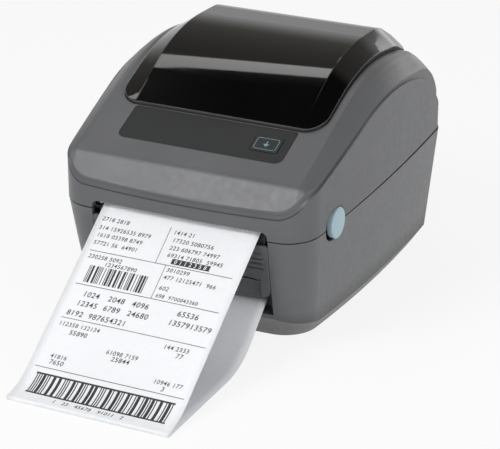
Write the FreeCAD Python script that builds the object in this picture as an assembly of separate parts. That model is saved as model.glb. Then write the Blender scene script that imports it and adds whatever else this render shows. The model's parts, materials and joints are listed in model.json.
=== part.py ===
import FreeCAD, Part
import math
import os
from FreeCAD import Vector

# Desktop thermal label printer with a hinged cover and a loaded label roll.
# Millimetres, +Z up, front at -Y, origin on the table at the middle of the footprint.

# Driving dimensions of the housing
body_width = 172.0
housing_front = -105.5
housing_rear = 101.5
top_height = 152.0
seam_height = 74.5
seam_slope = 0.035
wall = 2.5
floor_thickness = 3.0
foot_height = 1.5
label_width = 102.0

# Plan of the housing: all four sides bulge a little and the corners are round
side_bow_front = 6.0
side_bow_rear = 1.8
front_bow = 2.0
rear_bow = 1.2
front_corner = 21.0
rear_corner = 12.0

# Tapers of the base and its undercut skirt, in millimetres per millimetre of height
front_taper = 0.15
front_taper_low = 0.19
side_taper = 0.097
rear_taper = 0.04
crease_drop = 30.0
skirt_front_inset = 25.5
skirt_rear_inset = 3.0
skirt_side_inset = 13.6
skirt_front_slope = 0.87
skirt_side_slope = 0.67
skirt_rear_slope = 0.2

# Clearances
seam_gap = 0.6
fit_gap = 0.3
slide_gap = 0.4
shaft_gap = 0.05

# Most of a straight run that the roundings at its two ends may take up
rounded_share = 0.9995

# Cover: a step line runs round it, with the upper form set back behind it
step_inset = 1.5
step_front_height = 86.5
nose_rise = 15.5
nose_chamfer = 14.8
nose_setback = 10.0
ridge_y = 8.0
ridge_drop = 5.0
shoulder_drop = 11.0
shoulder_width = 13.0
roof_back_y = 78.5
roof_back_drop = 15.5
tail_rise = 9.5

# Window dome
window_half = 67.0
window_bevel = 12.0
window_front = -53.0
window_rear = 84.0
window_corner = 13.0
window_wall = 2.4
window_proud = 1.8

# Rear hinge of the cover
hinge_out = 0.5
knuckle_radius = 3.6
hinge_pin_radius = 1.5
cover_knuckle_half = 40.0
base_knuckle_end = 58.0

# Front: feed slot, platen and bezel
slot_half = 57.0
slot_rise = 3.7
slot_round = 3.5
platen_setback = 12.2
platen_drop = 4.5
platen_radius = 7.0
platen_half = 54.0
shaft_radius = 3.0
bezel_drop = 5.3
bezel_height = 36.2
bezel_corner = 8.0
scoop_depth = 3.0

# Drive train on the left
gear_module = 0.5
platen_teeth = 22
small_teeth = 16
large_teeth = 40
pinion_teeth = 12
frame_inner = 59.0
frame_sheet = 1.5
motor_radius = 12.5
motor_length = 18.0

# Label roll and its holders
roll_y = 22.0
roll_z = 78.0
roll_radius = 48.0
core_radius = 15.0
core_bore = 12.7
trough_radius = 57.0
tray_sheet = 2.2
deck_drop = 8.5
tray_side_gap = 19.5
holder_sheet = 2.5
guide_module = 1.0
guide_teeth = 12

# Label strip
strip_thickness = 0.25

# Latches
latch_y = -64.4
latch_radius = 9.5
latch_travel = 3.6
latch_pivot_drop = 37.0
dome_radius = 70.0

half_width = body_width / 2
middle_y = (housing_front + housing_rear) / 2
floor_top = foot_height + floor_thickness
crease_height = seam_height - crease_drop
skirt_front = housing_front + skirt_front_inset
skirt_rear = housing_rear - skirt_rear_inset
skirt_half = half_width - skirt_side_inset
nose_height = seam_height + nose_rise
nose_top = nose_height + nose_chamfer
nose_y = housing_front + step_inset + nose_setback
ridge_height = top_height - ridge_drop
roof_back_height = top_height - roof_back_drop
panel_slope = (ridge_height - nose_top) / (ridge_y - nose_y)
back_slope = (roof_back_height - ridge_height) / (roof_back_y - ridge_y)
platen_y = housing_front + platen_setback
platen_z = seam_height - platen_drop
slot_top = seam_height + slot_rise
bezel_top = seam_height - bezel_drop
bezel_bottom = bezel_top - bezel_height
deck_height = seam_height - deck_drop
tray_half = half_width - tray_side_gap
latch_pivot_z = seam_height - latch_pivot_drop
deck_front = platen_y + 17.5
deck_rear = housing_rear - rear_taper * (seam_height - deck_height) - wall - rear_bow - fit_gap


def seam_at(y):
    """Height of the seam, which rises gently from the front to the rear."""
    return seam_height + seam_slope * (y - latch_y)


tail_height = seam_at(housing_rear) + tail_rise
lowest_seam = seam_at(housing_front)
highest_seam = seam_at(housing_rear)


# Small shape makers
def box(x0, x1, y0, y1, z0, z1):
    return Part.makeBox(x1 - x0, y1 - y0, z1 - z0, Vector(x0, y0, z0))


def rod_x(radius, x0, x1, y, z):
    return Part.makeCylinder(radius, x1 - x0, Vector(x0, y, z), Vector(1, 0, 0))


def rod_y(radius, y0, y1, x, z):
    return Part.makeCylinder(radius, y1 - y0, Vector(x, y0, z), Vector(0, 1, 0))


def rod_z(radius, z0, z1, x, y):
    return Part.makeCylinder(radius, z1 - z0, Vector(x, y, z0), Vector(0, 0, 1))


def in_yz(x):
    return lambda p: Vector(x, p.x, p.y)


def in_xz(y):
    return lambda p: Vector(p.x, y, p.y)


def in_xy(z):
    return lambda p: Vector(p.x, p.y, z)


def join(first, *others):
    return first.fuse(list(others)).removeSplitter()


def mirrored(shape):
    return shape.mirror(Vector(0, 0, 0), Vector(1, 0, 0))


def corner_points(points):
    """Start, middle and end of the arc that rounds each corner (a, b, radius).

    Two roundings that are too long for the run between them shrink to share it.
    """
    count = len(points)
    corners = [Vector(a, b, 0) for a, b, radius in points]
    arms = []
    for i in range(count):
        before = corners[i - 1] - corners[i]
        after = corners[(i + 1) % count] - corners[i]
        arms.append((before, after, before.getAngle(after) / 2))
    reaches = [points[i][2] / math.tan(arms[i][2]) for i in range(count)]
    shares = [1.0] * count
    for i in range(count):
        following = (i + 1) % count
        wanted = reaches[i] + reaches[following]
        room = rounded_share * arms[i][1].Length
        if wanted > room:
            shares[i] = min(shares[i], room / wanted)
            shares[following] = min(shares[following], room / wanted)
    arcs = []
    for i in range(count):
        before, after, half_angle = arms[i]
        radius = points[i][2] * shares[i]
        if radius <= 0:
            arcs.append((corners[i], None, corners[i]))
            continue
        before.normalize()
        after.normalize()
        reach = radius / math.tan(half_angle)
        inward = before + after
        inward.normalize()
        centre = corners[i] + inward * (radius / math.sin(half_angle))
        arcs.append((corners[i] + before * reach, centre - inward * radius, corners[i] + after * reach))
    return arcs


def rounded_wire(points, place):
    """Closed outline of straight lines with rounded corners, set in space by place."""
    corners = corner_points(points)
    edges = []
    for i in range(len(corners)):
        start, middle, end = corners[i]
        if middle is not None:
            edges.append(Part.Arc(place(start), place(middle), place(end)).toShape())
        following = corners[(i + 1) % len(corners)][0]
        if (following - end).Length > 1e-6:
            edges.append(Part.LineSegment(place(end), place(following)).toShape())
    return Part.Wire(edges)


def slab(points, place, direction):
    return Part.Face(rounded_wire(points, place)).extrude(direction)


def upright_edges(solid, low_y, high_y):
    found = []
    for edge in solid.Edges:
        if len(edge.Vertexes) < 2:
            continue
        a, b = edge.Vertexes[0].Point, edge.Vertexes[1].Point
        if math.hypot(a.x - b.x, a.y - b.y) < 1e-6 and low_y < a.y < high_y:
            found.append(edge)
    return found


def plan_wire(z, front, rear, half, front_radius, rear_radius):
    """Bowed rectangle with rounded corners, seen from above."""
    middle = (front + rear) / 2
    near_front = half - side_bow_front
    near_rear = half - side_bow_rear
    corners = [
        Vector(-near_front, front + front_bow, z),
        Vector(near_front, front + front_bow, z),
        Vector(near_rear, rear - rear_bow, z),
        Vector(-near_rear, rear - rear_bow, z),
    ]
    bulges = [
        Vector(0, front, z),
        Vector(half, middle, z),
        Vector(0, rear, z),
        Vector(-half, middle, z),
    ]
    edges = []
    for i in range(4):
        edges.append(Part.Arc(corners[i], bulges[i], corners[(i + 1) % 4]).toShape())
    prism = Part.Face(Part.Wire(edges)).extrude(Vector(0, 0, 1))
    prism = prism.makeFillet(front_radius, upright_edges(prism, front - 1, front + front_bow + 0.5))
    prism = prism.makeFillet(rear_radius, upright_edges(prism, rear - rear_bow - 0.5, rear + 1))
    lowest = min(prism.Faces, key=lambda face: face.CenterOfMass.z)
    return lowest.OuterWire


def wall_wire(z, inset):
    """Outer wall of the base at one height, moved inward by inset."""
    below = seam_height - z
    upper = min(below, seam_height - crease_height)
    lower = max(0, crease_height - z)
    front = housing_front + front_taper * upper + front_taper_low * lower + inset
    rear = housing_rear - rear_taper * below - inset
    half = half_width - side_taper * below - inset
    return plan_wire(z, front, rear, half, front_corner - inset, rear_corner - inset)


def skirt_wire(z, inset):
    """Undercut skirt of the base at one height, moved inward by inset."""
    rise = z - foot_height
    front = skirt_front - skirt_front_slope * rise + inset * 1.3
    rear = skirt_rear + skirt_rear_slope * rise - inset
    half = skirt_half + skirt_side_slope * rise - inset * 1.2
    return plan_wire(z, front, rear, half, front_corner - inset, rear_corner - inset)


def base_form(inset, low, high):
    heights = (low, crease_height, high)
    walls = Part.makeLoft([wall_wire(z, inset) for z in heights], True, True)
    skirt = Part.makeLoft([skirt_wire(low, inset), skirt_wire(high, inset)], True, True)
    return walls.common(skirt)


def seam_side(shape, upper):
    """The part of a shape above or below the sloping seam, half the seam gap away from it."""
    reach = 2 * body_width
    far = 2 * top_height if upper else -top_height
    offset = seam_gap / 2 if upper else -seam_gap / 2
    keep = slab([
        (-reach, far, 0),
        (-reach, seam_at(-reach) + offset, 0),
        (reach, seam_at(reach) + offset, 0),
        (reach, far, 0),
    ], in_yz(-reach), Vector(2 * reach, 0, 0))
    return shape.common(keep)


def plan_prism(low, high, inset):
    outline = plan_wire(low, housing_front + inset, housing_rear - inset, half_width - inset,
                        front_corner - inset, rear_corner - inset)
    return Part.Face(outline).extrude(Vector(0, 0, high - low))


def roof_wire(x, drop, inset):
    """Side profile of the upper form of the cover; drop lowers it toward the shoulders."""
    front = housing_front + step_inset + inset
    rear = housing_rear - inset * 0.5
    low = lowest_seam - 12
    return rounded_wire([
        (front, low, 0),
        (front, nose_height - 0.3 * drop - 0.4 * inset, 3),
        (front + nose_setback, nose_top - 0.45 * drop - 0.8 * inset, 8),
        (ridge_y, ridge_height - drop - 1.07 * inset, 130),
        (roof_back_y - 0.1 * drop - 0.3 * inset, roof_back_height - drop - inset, 42),
        (rear, tail_height - 0.3 * drop, 20),
        (rear, low, 0),
    ], in_yz(x))


def roof_form(inset, low):
    """Upper form of the cover: ruled stations across the width, falling at the shoulders."""
    reach = half_width - step_inset + 0.5
    stations = []
    for step in range(5):
        share = step / 4
        stations.append((reach - shoulder_width * (1 - share), shoulder_drop * share ** 1.4))
    wires = [roof_wire(-x, drop, inset) for x, drop in reversed(stations)]
    wires += [roof_wire(x, drop, inset) for x, drop in stations]
    form = Part.makeLoft(wires, True, True)
    return form.common(plan_prism(low, top_height + 20, step_inset + inset))


def step_form():
    """Lower band of the cover, which ends at the step line."""
    band = plan_prism(lowest_seam - 5, top_height + 20, 0)
    profile = slab([
        (housing_front - 4, lowest_seam - 9, 0),
        (housing_front - 4, step_front_height - 4, 0),
        (housing_front, step_front_height, 0),
        (housing_front + 12, step_front_height + 13.5, 12),
        (ridge_y + 6, ridge_height - shoulder_drop + 2.2, 130),
        (roof_back_y - 6, roof_back_height - shoulder_drop - 6.5, 42),
        (housing_rear + 2, tail_height - 6, 0),
        (housing_rear + 2, lowest_seam - 9, 0),
    ], in_yz(-body_width), Vector(2 * body_width, 0, 0))
    return band.common(profile)


def roof_line(y):
    """Height of the roof's straight runs along the middle, without their rounding."""
    if y < ridge_y:
        return ridge_height + panel_slope * (y - ridge_y)
    return ridge_height + back_slope * (y - ridge_y)


def window_wire(x, edge, inset):
    """Side profile of the window: the crown of the dome, or its edge just above the roof."""
    low = highest_seam + 20
    front = window_front + inset
    rear = window_rear - inset
    crest = (ridge_y, roof_line(ridge_y) + window_proud) if edge else (ridge_y - 7.5, top_height + 2.6)
    turn_y = rear - 24
    turn_z = roof_line(turn_y) + window_proud if edge else top_height + 0.5
    end_z = roof_back_height - 7.5 if edge else top_height - 13
    return rounded_wire([
        (front, low, 0),
        (front, roof_line(window_front) + window_proud - 0.7 * inset, 1.5),
        (crest[0], crest[1] - 1.05 * inset, 120),
        (turn_y, turn_z - inset, 30),
        (rear, end_z - 0.6 * inset, 4),
        (rear, low, 0),
    ], in_yz(x))


def window_plan(margin, low, high):
    radius = window_corner + margin
    x = window_half + margin
    return slab([
        (-x, window_front - margin, radius),
        (x, window_front - margin, radius),
        (x, window_rear + margin, radius),
        (-x, window_rear + margin, radius),
    ], in_xy(low), Vector(0, 0, high - low))


def window_form(inset):
    inner = window_half - window_bevel
    outer = window_half + 1
    stations = ((-outer, True), (-inner, False), (inner, False), (outer, True))
    dome = Part.makeLoft([window_wire(x, edge, inset) for x, edge in stations], True, True)
    return dome.common(window_plan(-inset, seam_height, top_height + 20))


def stadium(radius, y0, y1, z, x0, x1):
    """Slot with round ends that passes through a side wall."""
    return slab([
        (y0 - radius, z - radius, radius * 0.999),
        (y1 + radius, z - radius, radius * 0.999),
        (y1 + radius, z + radius, radius * 0.999),
        (y0 - radius, z + radius, radius * 0.999),
    ], in_yz(x0), Vector(x1 - x0, 0, 0))


def gear_points(teeth, module, phase, backlash):
    """Involute tooth outline about the origin, with a tooth centred on the angle phase."""
    pressure = math.radians(20)
    pitch = module * teeth / 2
    base = pitch * math.cos(pressure)
    tip = pitch + 0.95 * module
    root = pitch - 1.2 * module
    half_tooth = (math.pi * module / 2 - backlash) / (2 * pitch) + math.tan(pressure) - pressure
    flank = []
    start = max(base, root)
    for share in (0, 0.5, 1):
        radius = start + (tip - start) * share
        turn = math.acos(min(1, base / radius))
        flank.append((radius, half_tooth - math.tan(turn) + turn))
    if root < base:
        flank.insert(0, (root, flank[0][1] + 0.02))
    points = []
    for tooth in range(teeth):
        middle = phase + 2 * math.pi * tooth / teeth
        for radius, spread in flank:
            points.append((radius * math.cos(middle - spread), radius * math.sin(middle - spread), 0))
        for radius, spread in reversed(flank):
            points.append((radius * math.cos(middle + spread), radius * math.sin(middle + spread), 0))
    return points


def gear_x(teeth, module, phase, x0, x1, y, z):
    points = [(a + y, b + z, 0) for a, b, r in gear_points(teeth, module, phase, 0.16 * module)]
    return slab(points, in_yz(x0), Vector(x1 - x0, 0, 0))


# Base housing: tapered shell with skirt, finger pocket, ports, bosses and hinge knuckles
base_outer = seam_side(base_form(0, foot_height, highest_seam + 5), False)
base_cavity = base_form(wall, floor_top, highest_seam + 10)
pocket_half = slot_half + fit_gap
pocket_back = housing_front + 19.0
pocket_bottom = bezel_bottom - 10
pocket_block = box(-pocket_half - 1.3, pocket_half + 1.3, housing_front, pocket_back + 2.5,
                   pocket_bottom - 2.5, bezel_bottom + 3).common(base_outer)
pocket = box(-pocket_half, pocket_half, housing_front - 20, pocket_back, pocket_bottom, bezel_bottom + 0.3)
bezel_opening = box(-pocket_half, pocket_half, housing_front - 20, pocket_back - 4,
                    bezel_bottom, highest_seam)
hinge_y = housing_rear + hinge_out
hinge_z = seam_at(hinge_y)

port_floor = foot_height + 8.1
board_bottom = port_floor - 1.6
rear_wall_y = housing_rear - rear_taper * (seam_height - port_floor - 6)
port_sizes = {
    "usb": (-27.0, 12.0, 10.8),
    "parallel": (8.0, 54.0, 13.5),
    "serial": (52.0, 31.0, 12.5),
    "power": (-41.0, 11.0, 11.0),
}
switch_x = -57.0
switch_width = 13.0
switch_height = 19.2
switch_z = port_floor + 14.5

tray_columns = [(5 - tray_half, -45), (tray_half - 5, -45)]
rib_places = [-45, 0, 45]
board_posts = [(-50, -22), (50, -22), (-50, 70), (50, 70)]

base = base_outer.cut(base_cavity)
base = base.fuse(pocket_block)
base = base.cut([pocket, bezel_opening])
bosses = [rod_z(4, floor_top - 1, deck_height - tray_sheet, x, y) for x, y in tray_columns]
bosses += [rod_z(3, floor_top - 1, board_bottom, x, y) for x, y in board_posts]
for x in rib_places:
    bosses.append(slab([
        (deck_rear + 2.5, deck_height - tray_sheet, 0),
        (deck_rear - 8, deck_height - tray_sheet, 0),
        (deck_rear + 2.5, deck_height - tray_sheet - 16, 0),
    ], in_yz(x - 1.5), Vector(3, 0, 0)))
latch_bow = side_bow_front * ((latch_y - middle_y) / (housing_front - middle_y)) ** 2
latch_side = half_width - latch_bow
latch_wall = latch_side - side_taper * (seam_height - latch_pivot_z) - wall
lever_x = half_width - 13.2
lever_sheet = 2.4
boss = rod_x(4.0, lever_x + lever_sheet + slide_gap, latch_wall + 0.8, latch_y, latch_pivot_z)
bosses += [boss, mirrored(boss)]
base = base.fuse(bosses)
knuckle_start = cover_knuckle_half + fit_gap
knuckle_ends = ((-base_knuckle_end, -knuckle_start), (knuckle_start, base_knuckle_end))
knuckles = [rod_x(knuckle_radius, x0, x1, hinge_y, hinge_z) for x0, x1 in knuckle_ends]
base = base.fuse(knuckles)
cuts = []
for x, width, height in port_sizes.values():
    cuts.append(box(x - width / 2 - fit_gap, x + width / 2 + fit_gap, rear_wall_y - 6, housing_rear + 5,
                    port_floor - fit_gap, port_floor + height + fit_gap))
cuts.append(box(switch_x - switch_width / 2 - fit_gap, switch_x + switch_width / 2 + fit_gap,
                rear_wall_y - 6, housing_rear + 5,
                switch_z - switch_height / 2 - fit_gap, switch_z + switch_height / 2 + fit_gap))
cuts.append(rod_x(knuckle_radius + fit_gap, -cover_knuckle_half - fit_gap, cover_knuckle_half + fit_gap,
                  hinge_y, hinge_z))
cuts.append(rod_x(hinge_pin_radius, -base_knuckle_end - 1, base_knuckle_end + 1, hinge_y, hinge_z))
latch_slot = stadium(latch_radius + slide_gap, latch_y - latch_travel - 0.2, latch_y, seam_height,
                     half_width - 8, half_width + 6)
cuts += [latch_slot, mirrored(latch_slot)]
latch_pin_radius = 1.8
latch_pin_end = latch_wall + 0.2
pin_hole = rod_x(latch_pin_radius, lever_x - 4, latch_pin_end, latch_y, latch_pivot_z)
cuts += [pin_hole, mirrored(pin_hole)]
base = base.cut(cuts)

# Front bezel: closes the front below the platen, with finger grips and a scooped lower edge
bezel_low = base_outer.cut(base_form(wall + scoop_depth, floor_top, highest_seam + 10))
bezel_high = base_outer.cut(base_form(wall - 0.3, floor_top, highest_seam + 10))
scoop_top = crease_height + 4
thick_top = scoop_top - 4
bezel_front, bezel_back = housing_front - 5, housing_front + 30
bezel_low = bezel_low.common(box(-slot_half, slot_half, bezel_front, bezel_back, bezel_bottom, thick_top))
bezel_high = bezel_high.common(box(-slot_half, slot_half, bezel_front, bezel_back, thick_top, bezel_top))
bezel = join(bezel_low, bezel_high)
bezel_outline = slab([
    (-slot_half, bezel_bottom + fit_gap, bezel_corner),
    (slot_half, bezel_bottom + fit_gap, bezel_corner),
    (slot_half, bezel_top, 1.5),
    (-slot_half, bezel_top, 1.5),
], in_xz(housing_front - 5), Vector(0, 40, 0))
bezel = bezel.common(bezel_outline)
scoop_z = bezel_bottom + 7
scoop_reach = scoop_top - scoop_z
scoop_radius = (scoop_reach ** 2 + scoop_depth ** 2) / (2 * scoop_depth)
scoop_face = housing_front + front_taper * crease_drop + front_taper_low * (crease_height - scoop_z)
scoop = rod_x(scoop_radius, -slot_half + 6, slot_half - 6, scoop_face + scoop_depth - scoop_radius, scoop_z)
bezel = bezel.cut(scoop)
grips = []
for side in (-1, 1):
    for row in range(4):
        z = bezel_top - 16.2 + 3.2 * row
        y = housing_front + front_taper * (seam_height - z) + 0.9
        grips.append(rod_x(1.5, side * 49 - 5, side * 49 + 5, y, z))
bezel = join(bezel, *grips)

# Media tray: deck, trough under the roll, end walls, sensor slot and guide slots
inner_reach = math.sqrt(trough_radius ** 2 - (roll_z - deck_height) ** 2)
outer_radius = trough_radius + tray_sheet
under_deck = deck_height - tray_sheet
outer_reach = math.sqrt(outer_radius ** 2 - (roll_z - under_deck) ** 2)
tray_edges = [
    ((deck_rear, deck_height), (roll_y + inner_reach, deck_height), None),
    ((roll_y + inner_reach, deck_height), (roll_y - inner_reach, deck_height),
     (roll_y, roll_z - trough_radius)),
    ((roll_y - inner_reach, deck_height), (deck_front, deck_height), None),
    ((deck_front, deck_height), (deck_front, under_deck), None),
    ((deck_front, under_deck), (roll_y - outer_reach, under_deck), None),
    ((roll_y - outer_reach, under_deck), (roll_y + outer_reach, under_deck),
     (roll_y, roll_z - outer_radius)),
    ((roll_y + outer_reach, under_deck), (deck_rear, under_deck), None),
    ((deck_rear, under_deck), (deck_rear, deck_height), None),
]


def tray_profile(x):
    edges = []
    for start, end, through in tray_edges:
        a, b = Vector(x, *start), Vector(x, *end)
        if through is None:
            edges.append(Part.LineSegment(a, b).toShape())
        else:
            edges.append(Part.Arc(a, Vector(x, *through), b).toShape())
    return Part.Face(Part.Wire(edges))


tray = tray_profile(-tray_half).extrude(Vector(2 * tray_half, 0, 0))
end_disc = rod_x(trough_radius + 0.5, tray_half - tray_sheet, tray_half, roll_y, roll_z)
end_disc = end_disc.common(box(0, body_width, housing_front, housing_rear, 0, deck_height + 4))
tray = join(tray, end_disc, mirrored(end_disc))
guide_open = 6.0
holder_inner = label_width / 2 + 1.4
foot_half = 8.0
guide_pitch = guide_module * guide_teeth / 2
slot_end = holder_inner + holder_sheet + guide_open + 0.6
rack_width = 5.0
rack_low = port_floor + 2.4
rack_high = roll_z - outer_radius - 1.4
guide_slots = []
for side in (-1, 1):
    reach = (roll_y - foot_half - 0.5, roll_y + foot_half + 0.5)
    slot = box(holder_inner - 0.6, slot_end, reach[0], reach[1], 10, roll_z - trough_radius + 3)
    guide_slots.append(slot if side > 0 else mirrored(slot))
sensor_y = deck_front + 9
sensor_travel = 40.0
sensor_slot = box(-sensor_travel - 6, sensor_travel + 6, sensor_y - 2, sensor_y + 2,
                  under_deck - 2, deck_height + 2)
notch = box(frame_inner - fit_gap, tray_half + 1, deck_front - 1, deck_front + 19 + fit_gap,
            under_deck - 1, deck_height + 20)
tray = tray.cut(guide_slots + [sensor_slot, notch, mirrored(notch)])
guide_pin = rod_z(2.0, rack_low - 0.3, roll_z - trough_radius - 0.5, 0, roll_y)
tray = join(tray, guide_pin)

# Roll holders: a plate with a hub in the core, a foot through the tray and a rack below it
hub_radius = core_bore - 0.3


def rack(side):
    """Toothed bar on the far side of the guide pinion, for the holder on the given side."""
    line = roll_y + side * (guide_pitch + 1.2 * guide_module)
    outer = line + side * rack_width
    y0, y1 = min(line, outer), max(line, outer)
    bar = box(-24, holder_inner + holder_sheet, y0, y1, rack_low, rack_high)
    teeth = []
    pitch = math.pi * guide_module
    for index in range(-5, 6):
        middle = (index + 0.5) * pitch
        tip = line - side * 2.1 * guide_module
        root_half, tip_half = 0.36 * pitch, 0.13 * pitch
        teeth.append(slab([
            (middle - root_half, line + side * 0.3, 0),
            (middle - tip_half, tip, 0),
            (middle + tip_half, tip, 0),
            (middle + root_half, line + side * 0.3, 0),
        ], in_xy(rack_low), Vector(0, 0, rack_high - rack_low)))
    shape = bar.fuse(teeth)
    return shape if side > 0 else mirrored(shape)


def holder(side):
    plate = slab([
        (roll_y - foot_half, rack_low, 0),
        (roll_y + foot_half, rack_low, 0),
        (roll_y + foot_half, roll_z - 42, 10),
        (roll_y + 24, roll_z - 30, 14),
        (roll_y + 24, roll_z + 20, 22),
        (roll_y - 24, roll_z + 20, 22),
        (roll_y - 24, roll_z - 30, 14),
        (roll_y - foot_half, roll_z - 42, 10),
    ], in_yz(holder_inner), Vector(holder_sheet, 0, 0))
    hub = rod_x(hub_radius, holder_inner - 7, holder_inner + 0.5, roll_y, roll_z)
    hub_tip = min(hub.Edges, key=lambda edge: edge.CenterOfMass.x)
    hub = hub.makeChamfer(2, [hub_tip])
    window = rod_x(8, holder_inner - 8, holder_inner + 4, roll_y, roll_z)
    ribs = [box(holder_inner + 1, holder_inner + holder_sheet + 1.5, roll_y + dy - 1, roll_y + dy + 1,
                roll_z - 44, roll_z + 8) for dy in (-17, 17)]
    shape = join(plate, hub, *ribs).cut(window)
    if side < 0:
        shape = mirrored(shape)
    return join(shape, rack(side))


holder_left = holder(-1)
holder_right = holder(1)
guide_phase = math.pi / 2
guide_gear = slab(gear_points(guide_teeth, guide_module, guide_phase, 0.2 * guide_module),
                  lambda p: Vector(p.x, p.y + roll_y, rack_low), Vector(0, 0, rack_high - rack_low))
guide_gear = guide_gear.cut(rod_z(2.0 + shaft_gap, 0, 60, 0, roll_y))

# Label roll on its core
roll_half = label_width / 2 + 0.5
core = rod_x(core_radius, -label_width / 2 - 1, label_width / 2 + 1, roll_y, roll_z)
core = core.cut(rod_x(core_bore, -100, 100, roll_y, roll_z))
roll = rod_x(roll_radius, -roll_half, roll_half, roll_y, roll_z)
roll = roll.cut(rod_x(core_radius, -100, 100, roll_y, roll_z))

# Platen frame: two side plates with open bearing slots, joined by a cross strap
bearing_radius = 4.6
plate_top = lowest_seam - 1.0
plate_points = [
    (housing_front + wall + front_bow + 0.8, plate_top, 2),
    (deck_front + 19, plate_top, 4),
    (deck_front + 19, floor_top, 0),
    (skirt_front + 7.5, floor_top, 0),
    (skirt_front - 11.5, floor_top + 26, 3),
    (housing_front + 11, crease_height, 3),
]


def side_plate(x):
    plate = slab(plate_points, in_yz(x), Vector(frame_sheet, 0, 0))
    seat = rod_x(bearing_radius, x - 1, x + frame_sheet + 1, platen_y, platen_z)
    mouth = box(x - 1, x + frame_sheet + 1, platen_y - bearing_radius, platen_y + bearing_radius,
                platen_z, top_height)
    hole = slab([
        (deck_front + 4, 14, 4),
        (deck_front + 14, 14, 4),
        (deck_front + 14, 40, 4),
        (deck_front + 4, 40, 4),
    ], in_yz(x - 1), Vector(frame_sheet + 2, 0, 0))
    return plate.cut([seat, mouth, hole])


idler_distance = gear_module * (platen_teeth + small_teeth) / 2
idler_angle = math.radians(-32)
idler_y = platen_y + idler_distance * math.cos(idler_angle)
idler_z = platen_z + idler_distance * math.sin(idler_angle)
motor_distance = gear_module * (large_teeth + pinion_teeth) / 2
motor_angle = math.radians(-80)
motor_y = idler_y + motor_distance * math.cos(motor_angle)
motor_z = idler_z + motor_distance * math.sin(motor_angle)
idler_pin_radius = 1.5
strap = box(-frame_inner - 0.5, frame_inner + 0.5, deck_front + 12, deck_front + 19,
            under_deck - frame_sheet, under_deck)
frame_left = side_plate(-frame_inner - frame_sheet)
motor_boss = 4.0
frame_left = frame_left.cut([
    rod_x(idler_pin_radius, -100, 0, idler_y, idler_z),
    rod_x(motor_boss, -100, 0, motor_y, motor_z),
])
frame = join(frame_left, side_plate(frame_inner), strap)

# Platen roller, its bearings and the gears that drive it
shaft_left = -frame_inner - frame_sheet - 6.4
shaft = rod_x(shaft_radius, shaft_left, frame_inner + frame_sheet + 2.5, platen_y, platen_z)
rubber = rod_x(platen_radius, -platen_half, platen_half, platen_y, platen_z)
rubber = rubber.cut(rod_x(shaft_radius, -100, 100, platen_y, platen_z))


def bearing(x):
    """Flanged bush that drops into the open slot of a side plate."""
    body = rod_x(bearing_radius, x, x + frame_sheet, platen_y, platen_z)
    if x > 0:
        flange = rod_x(bearing_radius + 1.2, x - 1.2, x, platen_y, platen_z)
    else:
        flange = rod_x(bearing_radius + 1.2, x + frame_sheet, x + frame_sheet + 1.2, platen_y, platen_z)
    return join(body, flange).cut(rod_x(shaft_radius + shaft_gap, -100, 100, platen_y, platen_z))


bearing_left = bearing(-frame_inner - frame_sheet)
bearing_right = bearing(frame_inner)
gear_right = -frame_inner - frame_sheet - 1.2
gear_left = gear_right - 4.4
platen_gear = gear_x(platen_teeth, gear_module, idler_angle, gear_left, gear_right, platen_y, platen_z)
platen_gear = platen_gear.cut(rod_x(shaft_radius, -100, 0, platen_y, platen_z))
large_right = shaft_left - 0.6
large_left = large_right - 3.6
small_phase = idler_angle + math.pi + math.pi / small_teeth
small_gear = gear_x(small_teeth, gear_module, small_phase, large_right, gear_right, idler_y, idler_z)
large_gear = gear_x(large_teeth, gear_module, motor_angle, large_left, large_right, idler_y, idler_z)
lightening = []
for index in range(5):
    angle = motor_angle + 2 * math.pi * index / 5
    lightening.append(rod_x(2.2, large_left - 1, large_right + 1, idler_y + 7 * math.cos(angle),
                            idler_z + 7 * math.sin(angle)))
compound = join(small_gear, large_gear).cut(lightening)
compound = compound.cut(rod_x(idler_pin_radius + shaft_gap, -100, 0, idler_y, idler_z))
idler_pin = rod_x(idler_pin_radius, large_left - 1.5, -frame_inner, idler_y, idler_z)
idler_head = rod_x(idler_pin_radius + 1.3, large_left - 1.5, large_left - 0.4, idler_y, idler_z)
idler_pin = join(idler_pin, idler_head)

# Stepper motor on the left side plate
motor = rod_x(motor_radius, -frame_inner, -frame_inner + motor_length, motor_y, motor_z)
motor_ears = slab([
    (motor_y - 4, motor_z - motor_radius - 3, 3),
    (motor_y + 4, motor_z - motor_radius - 3, 3),
    (motor_y + 4, motor_z + motor_radius - 1, 2),
    (motor_y - 4, motor_z + motor_radius - 1, 2),
], in_yz(-frame_inner), Vector(1, 0, 0))
motor_nose = rod_x(motor_boss - 0.2, -frame_inner - frame_sheet, -frame_inner + 1, motor_y, motor_z)
motor = join(motor, motor_ears, motor_nose)
rotor_radius = 1.0
motor = motor.cut(rod_x(rotor_radius + shaft_gap, -100, -frame_inner + motor_length - 4, motor_y, motor_z))
rotor = rod_x(rotor_radius, large_left, -frame_inner + motor_length - 5, motor_y, motor_z)
pinion_phase = motor_angle + math.pi + math.pi / pinion_teeth
pinion = gear_x(pinion_teeth, gear_module, pinion_phase, large_left, large_right, motor_y, motor_z)
pinion = pinion.cut(rod_x(rotor_radius, -100, 0, motor_y, motor_z))

# Media sensor, which slides along a slot in the deck
sensor = box(-6, 6, sensor_y - 4.5, sensor_y + 4.5, deck_height + 0.2, deck_height + 4.2)
sensor = sensor.makeFillet(1.2, upright_edges(sensor, -500, 500))
sensor = join(sensor, box(-5, 5, sensor_y - 1.7, sensor_y + 1.7, under_deck - 0.6, deck_height + 1))

# Main board and the sockets at the rear
board_rear = rear_wall_y - wall - 2
board = box(-56, 56, -30, board_rear, board_bottom, port_floor)
port_face = rear_wall_y + 0.6
port_depth = 15.0


def port_body(name):
    x, width, height = port_sizes[name]
    return box(x - width / 2, x + width / 2, port_face - port_depth, port_face,
               port_floor, port_floor + height)


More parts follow.
